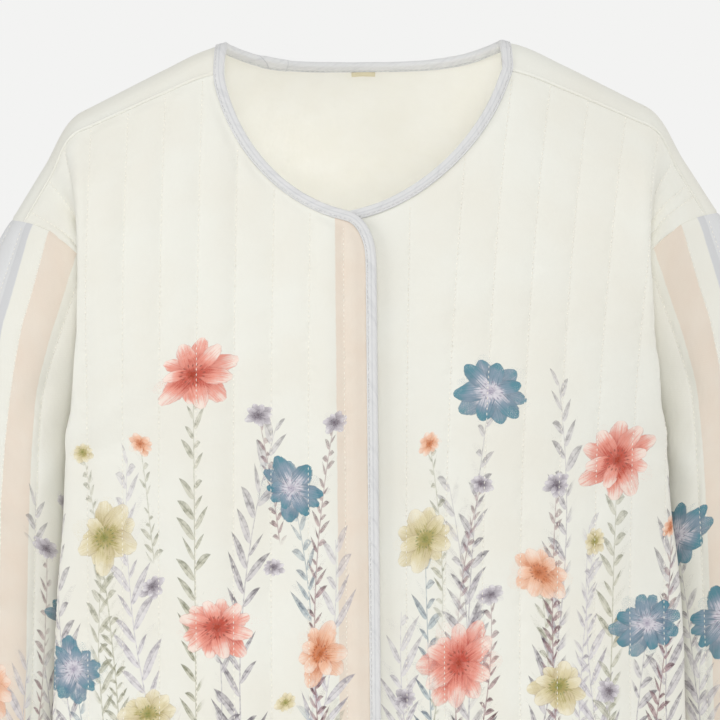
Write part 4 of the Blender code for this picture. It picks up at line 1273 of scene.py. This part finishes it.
def printed_cotton():
    material, start, shader = fabric("quilted_cotton", 0.88, 0.12)
    x, y, _ = start.field("cloth")
    peach, grey, _ = start.field("bands")
    mottle = start.grain(x, y, 0.013, 3.0)
    base = mottle.step(0.3, 0.7).over(*(colour(code) for code in GROUND_INKS))
    ragged = (start.grain(x * 3, y * 0.6, 0.4) - 0.5) * 0.05
    in_peach = (peach + ragged).step(0.0, 0.04) * (peach + ragged).step(1.0, 0.96)
    base = (in_peach * (0.62 + start.grain(x, y, 0.05) * 0.5)).over(base, colour(PEACH_INK))
    grey = grey + ragged * 0.25
    in_grey = grey.step(0.0, 0.04) * grey.step(1.0, 0.98)
    base = in_grey.over(base, colour(GREY_INK))
    # Painted shade: a darker strip along the grey band's edge towards the peach band
    in_grey_shade = grey.step(GREY_SHADE_START, GREY_SHADE_START + 0.02) * grey.step(1.0, 0.98)
    base = in_grey_shade.over(base, colour(GREY_SHADE_INK))
    for layer in LAYERS:
        ink, cover = leaf_ink(start, layer)
        base = cover.over(base, ink)
    for name, fine in (("floret", 9), ("blossom", 16)):
        ink, cover = blossom_ink(start, name, fine)
        base = cover.over(base, ink)
    threads = weave(start, x, y, THREAD_WIDE)
    base = (threads * 0.09).over(base, colour(THREAD_SHADE), "MULTIPLY")
    crumple = start.grain(x, y, 0.12, 4.0)
    connect(start, shader, base, threads * 0.3 + crumple * 1.6, 0.35, BUMP_DEEP)
    return material


def plain_cotton(name, light, dark, roughness, thread, crumple_size):
    """Woven cotton of one tone, a little cloudy and crumpled."""
    material, start, shader = fabric(name, roughness, 0.15)
    x, y, _ = start.field("cloth")
    threads = weave(start, x, y, thread)
    mottle = start.grain(x, y, 0.03, 3.0)
    base = (mottle.step(0.25, 0.75) * 0.6 + threads * 0.35).over(colour(light), colour(dark))
    crumple = start.grain(x, y, crumple_size, 4.0)
    connect(start, shader, base, threads * 0.3 + crumple * 1.4, 0.35, BUMP_DEEP)
    return material


def bias_strip(name, light, dark):
    """Cotton cut on the slant, wrinkled across where it is drawn round the edge, with painted shade in its
    wrinkles.
    """
    material, start, shader = fabric(name, 0.78, 0.15)
    along, across, past = start.field("cloth")
    threads = weave(start, along + across, along - across, 0.6)
    end = past - (across - LAP_ROUND) * LAP_SLANT
    lap = end.step(-0.3, 0.3) * past.step(LAP_LONG + 0.4, LAP_LONG)
    # Painted shade: a dark line along the lap's slanted cut end, and a fainter one at its far end
    cut = abs(end).step(0.8, 0.2).most(abs(past - LAP_LONG).step(0.7, 0.1) * 0.6)
    slant = along + across * 1.1
    fold = start.grain(slant * 0.16, across * 0.05, 1.0, 3.0)
    pinch = start.grain(slant * 0.42, across * 0.08 + 7.0, 1.0, 2.0)
    # Painted shade: the slanting folds and pinches darken the colour as well as raising the relief
    shade = fold.step(0.46, 0.7) * 0.3 + pinch.step(0.58, 0.74) * 0.2 + threads * 0.2
    middle = abs(across - BIND_MIDDLE).step(0.9, 0.2)
    shade = shade + middle * 0.45 + cut * 0.8 - lap * 0.1
    base = shade.least(1.0).most(0.0).over(colour(light), colour(dark))
    connect(start, shader, base, threads * 0.2 + fold * 1.6 + pinch * 1.2 + lap * 1.2, 0.4, 0.0008)
    return material


def grained(name, light, dark, roughness, sheen, scale, strength, distance):
    """Two near tones mixed by one noise, which also makes the relief."""
    material, start, shader = fabric(name, roughness, sheen)
    place = start.node("ShaderNodeTexCoord", {}, "Object")
    grain = start.node("ShaderNodeTexNoise", {"Vector": place, "Scale": scale})
    connect(start, shader, grain.over(colour(light), colour(dark)), grain, strength, distance)
    return material


def thread_finish(name, light, dark):
    return grained(name, light, dark, roughness=0.7, sheen=0.1, scale=900.0, strength=0.3, distance=0.0002)


def floor_finish():
    tones = ("f2f2f1", "eeeeed")
    return grained("pale_floor", *tones, roughness=0.9, sheen=0.0, scale=6.0, strength=0.02, distance=0.001)


# Camera and light

# Metres from here on, apart from the sensor's width
CAMERA_FAR, CHEST_Y, SENSOR = 11.0, -0.06, 36.0
FRAME_WIDE, FRAME_X, FRAME_Z = 0.533, -0.0046, -0.237  # at the chest, and where its middle lies
ROLL = math.radians(0.57)
FLOOR_Z, FLOOR_REACH = -0.612, 1.3
CHEST = (0, 0, -0.3)
Lamp = namedtuple("Lamp", "name place aim size power")
LAMPS = [
    Lamp("front", (0.1, -4.0, -0.2), CHEST, 1.0, 32),
    Lamp("high", (0.2, -2.2, 3.2), CHEST, 1.2, 26),
    Lamp("fill", (3.0, -2.2, 1.9), CHEST, 1.5, 26),
    Lamp("left", (-3.6, -1.7, 0.8), CHEST, 2.2, 50),
    Lamp("right rim", (3.2, 1.2, 1.3), CHEST, 1.5, 23),
    Lamp("inside", (0, -0.02, -0.42), (0, 0.06, -0.06), 0.15, 0.325),
]
SKY_INK, SKY_SHARE = "f3f3f2", 0.485  # the light of the surroundings, as a share of how bright they look


def set_camera():
    data = bpy.data.cameras.new("camera")
    data.sensor_width = SENSOR
    data.lens = SENSOR * (CAMERA_FAR + CHEST_Y) / FRAME_WIDE
    camera = bpy.data.objects.new("camera", data)
    camera.location = (FRAME_X, -CAMERA_FAR, FRAME_Z)
    camera.rotation_euler = (math.pi / 2, ROLL, 0)
    bpy.context.scene.collection.objects.link(camera)
    bpy.context.scene.camera = camera


def set_sky():
    world = bpy.data.worlds.new("studio")
    world.use_nodes = True
    sky = Value(world.node_tree)
    seen = sky.node("ShaderNodeLightPath", {}, "Is Camera Ray")
    strength = seen * (1 - SKY_SHARE) + SKY_SHARE
    shown = sky.node("ShaderNodeBackground", {"Color": colour(SKY_INK), "Strength": strength})
    out = world.node_tree.nodes["World Output"]
    world.node_tree.links.new(shown.socket, out.inputs["Surface"])
    bpy.context.scene.world = world
    bpy.context.scene.view_settings.view_transform = "Standard"


def set_lamps():
    for lamp in LAMPS:
        data = bpy.data.lights.new(lamp.name, "AREA")
        data.size, data.energy = lamp.size, lamp.power
        light = bpy.data.objects.new(lamp.name, data)
        light.location = lamp.place
        light.rotation_mode = "QUATERNION"
        light.rotation_quaternion = (Vector(lamp.aim) - light.location).to_track_quat("-Z", "Y")
        light.visible_camera = False
        bpy.context.scene.collection.objects.link(light)


def set_floor():
    work = bmesh.new()
    bmesh.ops.create_circle(work, cap_ends=True, radius=FLOOR_REACH, segments=96)
    bmesh.ops.translate(work, verts=work.verts, vec=(0, 0, FLOOR_Z))
    mesh = bpy.data.meshes.new("floor")
    work.to_mesh(mesh)
    work.free()
    mesh.materials.append(floor_finish())
    floor = bpy.data.objects.new("floor", mesh)
    bpy.context.scene.collection.objects.link(floor)


# Where the print grows

FRONT_FOLIAGE = [
    Stem("foliage", -92, -5, -66, 262, 0.1, 0),
    Stem("foliage", -150, 0, -178, 238, 0.09, 1),
    Stem("foliage", -214, -10, -236, 182, 0.06, 0),
    Stem("foliage", -46, 0, -24, 176, -0.08, 1),
    Stem("foliage", -262, 0, -270, 150, -0.06, 1),
    Stem("foliage", 70, -5, 60, 216, -0.07, 0),
    Stem("foliage", 118, 0, 142, 292, -0.1, 0),
    Stem("foliage", 176, -8, 164, 184, 0.08, 1),
    Stem("foliage", 226, 0, 240, 230, 0.07, 0),
    Stem("foliage", 30, 0, 24, 122, 0.05, 1),
    Stem("foliage", 268, 0, 274, 140, 0.05, 1),
]
FRONT_BLOOMS = [
    Bloom(-128, 300, 33, 20, 0.84, 0, 6),
    Bloom(-56, 214, 27, -35, 0.82, 1, 6),
    Bloom(-196, 178, 28, 60, 0.88, 2, 5),
    Bloom(-112, 112, 34, 10, 0.86, 0, 6),
    Bloom(-36, 92, 25, 75, 0.82, 4, 5),
    Bloom(-222, 82, 28, -20, 0.85, 1, 6),
    Bloom(-164, 48, 25, 40, 0.85, 2, 5),
    Bloom(92, 284, 29, -15, 0.84, 1, 6),
    Bloom(186, 232, 33, 35, 0.85, 0, 6),
    Bloom(42, 176, 26, 50, 0.86, 2, 5),
    Bloom(126, 150, 26, -40, 0.84, 4, 5),
    Bloom(208, 112, 28, 15, 0.86, 1, 6),
    Bloom(66, 84, 33, 65, 0.85, 0, 6),
    Bloom(140, 66, 26, 5, 0.85, 2, 5),
    Bloom(-80, 268, 11, 0, 0.8, 3, 5),
    Bloom(-168, 248, 11, -30, 0.8, 4, 5),
    Bloom(-24, 262, 10, 30, 0.85, 3, 5),
    Bloom(-70, 156, 10, 10, 0.85, 3, 5),
    Bloom(-160, 142, 11, 40, 0.8, 3, 5),
    Bloom(-214, 242, 10, 10, 0.85, 2, 5),
    Bloom(-62, 56, 10, 60, 0.8, 2, 5),
    Bloom(-252, 142, 10, 20, 0.85, 3, 5),
    Bloom(140, 214, 11, 20, 0.8, 3, 5),
    Bloom(46, 246, 10, 45, 0.8, 4, 5),
    Bloom(84, 216, 10, -20, 0.85, 3, 5),
    Bloom(168, 172, 10, 70, 0.85, 2, 5),
    Bloom(90, 134, 10, 15, 0.8, 3, 5),
    Bloom(178, 62, 11, -45, 0.85, 3, 5),
    Bloom(230, 180, 10, 35, 0.8, 4, 5),
    Bloom(26, 58, 10, 25, 0.8, 3, 5),
]
LARGE_TONES, SMALL_TONES = (0, 1, 2, 0, 1, 4), (3, 2, 3, 4)  # of scattered blossoms, in turn
LARGE_STEM_TONES, SMALL_STEM_TONES = (2, 5, 2, 0), (3, 1, 3, 2)


def flower_stems(blooms, ground, seed):
    """A leafy stem from the ground to every blossom, leaning away from the middle."""
    chance = np.random.default_rng(seed)
    stems = []
    for number, bloom in enumerate(blooms):
        large = bloom.radius > LARGE_BLOOM
        root = bloom.x - bloom.x * STEM_LEAN + chance.uniform(-ROOT_SHIFT, ROOT_SHIFT)
        tone = (LARGE_STEM_TONES if large else SMALL_STEM_TONES)[number % 4]
        bow = chance.uniform(-0.1, 0.1)
        stems.append(Stem("spray" if large else "sprig", root, ground, bloom.x, bloom.y, bow, tone))
    return stems


def meadow(seed, left, right, ground, rise):
    """Foliage standing side by side on a panel, uneven in height and lean."""
    chance = np.random.default_rng(seed)
    count = round((right - left) / FOLIAGE_SPACING)
    stems = []
    for k in range(count):
        x = left + (k + 0.5 + chance.uniform(-0.28, 0.28)) * (right - left) / count
        tall = rise * chance.uniform(0.45, 1.0)
        tip = x + chance.uniform(-0.17, 0.17) * tall
        stems.append(Stem("foliage", x, ground, tip, ground + tall, chance.uniform(-0.12, 0.12), k % 2))
    return stems


def scattered(seed, left, right, ground, rise):
    """Blossoms over a panel, large and small, each clear of the others."""
    chance = np.random.default_rng(seed)
    blooms = []
    for radius, tries in (((25, 33), 60), ((10, 12), 90)):
        for _ in range(tries):
            size = chance.uniform(*radius)
            x, y = chance.uniform(left, right), ground + rise * chance.uniform(0.05, 1) ** 1.3
            if all(math.hypot(b.x - x, b.y - y) > b.radius + size + BLOOM_SPACING for b in blooms):
                tones = LARGE_TONES if size > LARGE_BLOOM else SMALL_TONES
                tone = tones[len(blooms) % len(tones)]
                turn, squash = chance.uniform(-80, 80), chance.uniform(0.78, 0.92)
                blooms.append(Bloom(x, y, size, turn, squash, tone, 6 if tone < 2 else 5))
    return blooms


def no_bands(shape):
    """Places outside the peach band and the grey one."""
    return np.full((*shape, 3), -1.0)


# Pieces

PEACH_BAND = (-1.4, 22.6)  # along the bound front edge
SLEEVE_PEACH, SLEEVE_GREY = (0.205, 0.268), (-0.06, 0.165)  # shares of the way round
STITCH_CLEAR, SIDE_CLEAR = 1.0, 6.0  # quilting stitches stop this far from the binding and the side seams
SLEEVE_STITCH_START, SLEEVE_BLOOM_CLEAR = 3.0, 36.0  # from the armhole, and from the inner side of the arm
BACK_LINES = 22  # stitch lines on the back
GROUND, SLEEVE_GROUND = -10.0, -430.0  # where the print's stems start, from the hem and from the armhole


def add_panel(name, cloth, fields, lines, finishes, around):
    """A panel's wall, and the stitches along its quilting lines."""
    *cottons, thread = finishes
    wall = piece(f"{name}_cloth", wall_mesh(name, cloth, fields, around), cottons, name)
    sewn = piece(f"{name}_stitches", stitch_mesh(name, lines), thread, None)


def add_fronts(finishes):
    stems = FRONT_FOLIAGE + flower_stems(FRONT_BLOOMS, GROUND, seed=11)
    for name, side, cut, lean, puff, seed in (
        ("front_left", -1, LEFT_FRONT, LEFT_LEAN, LEFT_PUFF, 21),
        ("front_right", 1, RIGHT_FRONT, RIGHT_LEAN, RIGHT_PUFF, 22),
    ):
        cloth = front_cloth(cut, lean, puff, seed)
        bands = no_bands(cloth.s.shape)
        if side < 0:
            cloth.mirror()
            bands[..., 0] = (cloth.s - PEACH_BAND[0]) / (PEACH_BAND[1] - PEACH_BAND[0])
        fields = printed(cloth.s * side, cloth.v, stems, FRONT_BLOOMS, bands)
        clear = inside_binding(front_path(cut), cloth.s, cloth.v) > STITCH_CLEAR
        lines = column_lines(cloth, np.arange(cut.first_line, PANEL_HALF - SIDE_CLEAR, CHANNEL), clear)
        add_panel(name, cloth, fields, lines, finishes, around=False)


def add_back(finishes):
    cloth = back_cloth(seed=23)
    blooms = scattered(seed=14, left=-280, right=280, ground=20, rise=310)
    stems = meadow(seed=13, left=-300, right=300, ground=GROUND, rise=320)
    stems += flower_stems(blooms, GROUND, seed=15)
    fields = printed(cloth.s, cloth.v, stems, blooms, no_bands(cloth.s.shape))
    clear = inside_binding(back_path(), cloth.s, cloth.v) > STITCH_CLEAR
    clear &= (np.abs(cloth.s) < PLAIN_FROM) | (cloth.v < RIDGE_V - PLAIN_STRIP)
    numbers = np.arange(BACK_LINES) - (BACK_LINES - 1) / 2
    lines = column_lines(cloth, numbers * CHANNEL, clear)
    add_panel("back", cloth, fields, lines, finishes, around=False)


def add_sleeves(finishes):
    half = SLEEVE_ROUND / 2
    reach = half - SLEEVE_BLOOM_CLEAR
    for name, side, seed in (("sleeve_left", -1, 24), ("sleeve_right", 1, 25)):
        cloth = sleeve_cloth(seed)
        if side < 0:
            cloth.mirror()
        bands = no_bands(cloth.s.shape)
        for k, (low, high) in enumerate((SLEEVE_PEACH, SLEEVE_GREY)):
            bands[..., k] = (cloth.s - low) / (high - low)
        blooms = scattered(seed + 20, left=-reach, right=reach, ground=SLEEVE_GROUND + 30, rise=270)
        stems = meadow(seed + 10, left=-half, right=half, ground=SLEEVE_GROUND, rise=330)
        stems += flower_stems(blooms, SLEEVE_GROUND, seed)
        fields = printed(cloth.s * SLEEVE_ROUND, -cloth.v, stems, blooms, bands)
        lines = column_lines(cloth, cloth.columns[::PER_CHANNEL], cloth.v > SLEEVE_STITCH_START)
        add_panel(name, cloth, fields, lines, finishes, around=True)


def add_binding():
    sections = bind_sections_all()
    cotton = bias_strip("binding_cotton", "e3e3e3", "c9cacc")
    thread = thread_finish("binding_thread", "f4f4f2", "e6e6e4")
    strip = piece("edge_binding_strip", bind_mesh(sections), cotton, "edge_binding")
    rows = stitch_mesh("edge_binding", bind_stitches(sections))
    sewn = piece("edge_binding_stitches", rows, thread, None)


def add_tab():
    tape = plain_cotton("tab_tape", "ebe4cb", "d9cfae", roughness=0.8, thread=0.5, crumple_size=0.4)
    tab = piece("neck_tab_tape", tab_mesh(), tape, "neck_tab")


def main():
    set_camera()
    set_sky()
    set_lamps()
    set_floor()
    # The lining's cream is partly its own pale tone and partly painted light: it is set lighter than the
    # outer ground to make up for the shade inside the neck
    lining = plain_cotton("lining_cotton", "f9f8f2", "f5f3ea", roughness=0.9, thread=0.5, crumple_size=0.2)
    finishes = [printed_cotton(), lining, thread_finish("stitch_thread", "fffcf2", "faf5e8")]
    add_fronts(finishes)
    add_back(finishes)
    add_sleeves(finishes)
    add_binding()
    add_tab()


main()
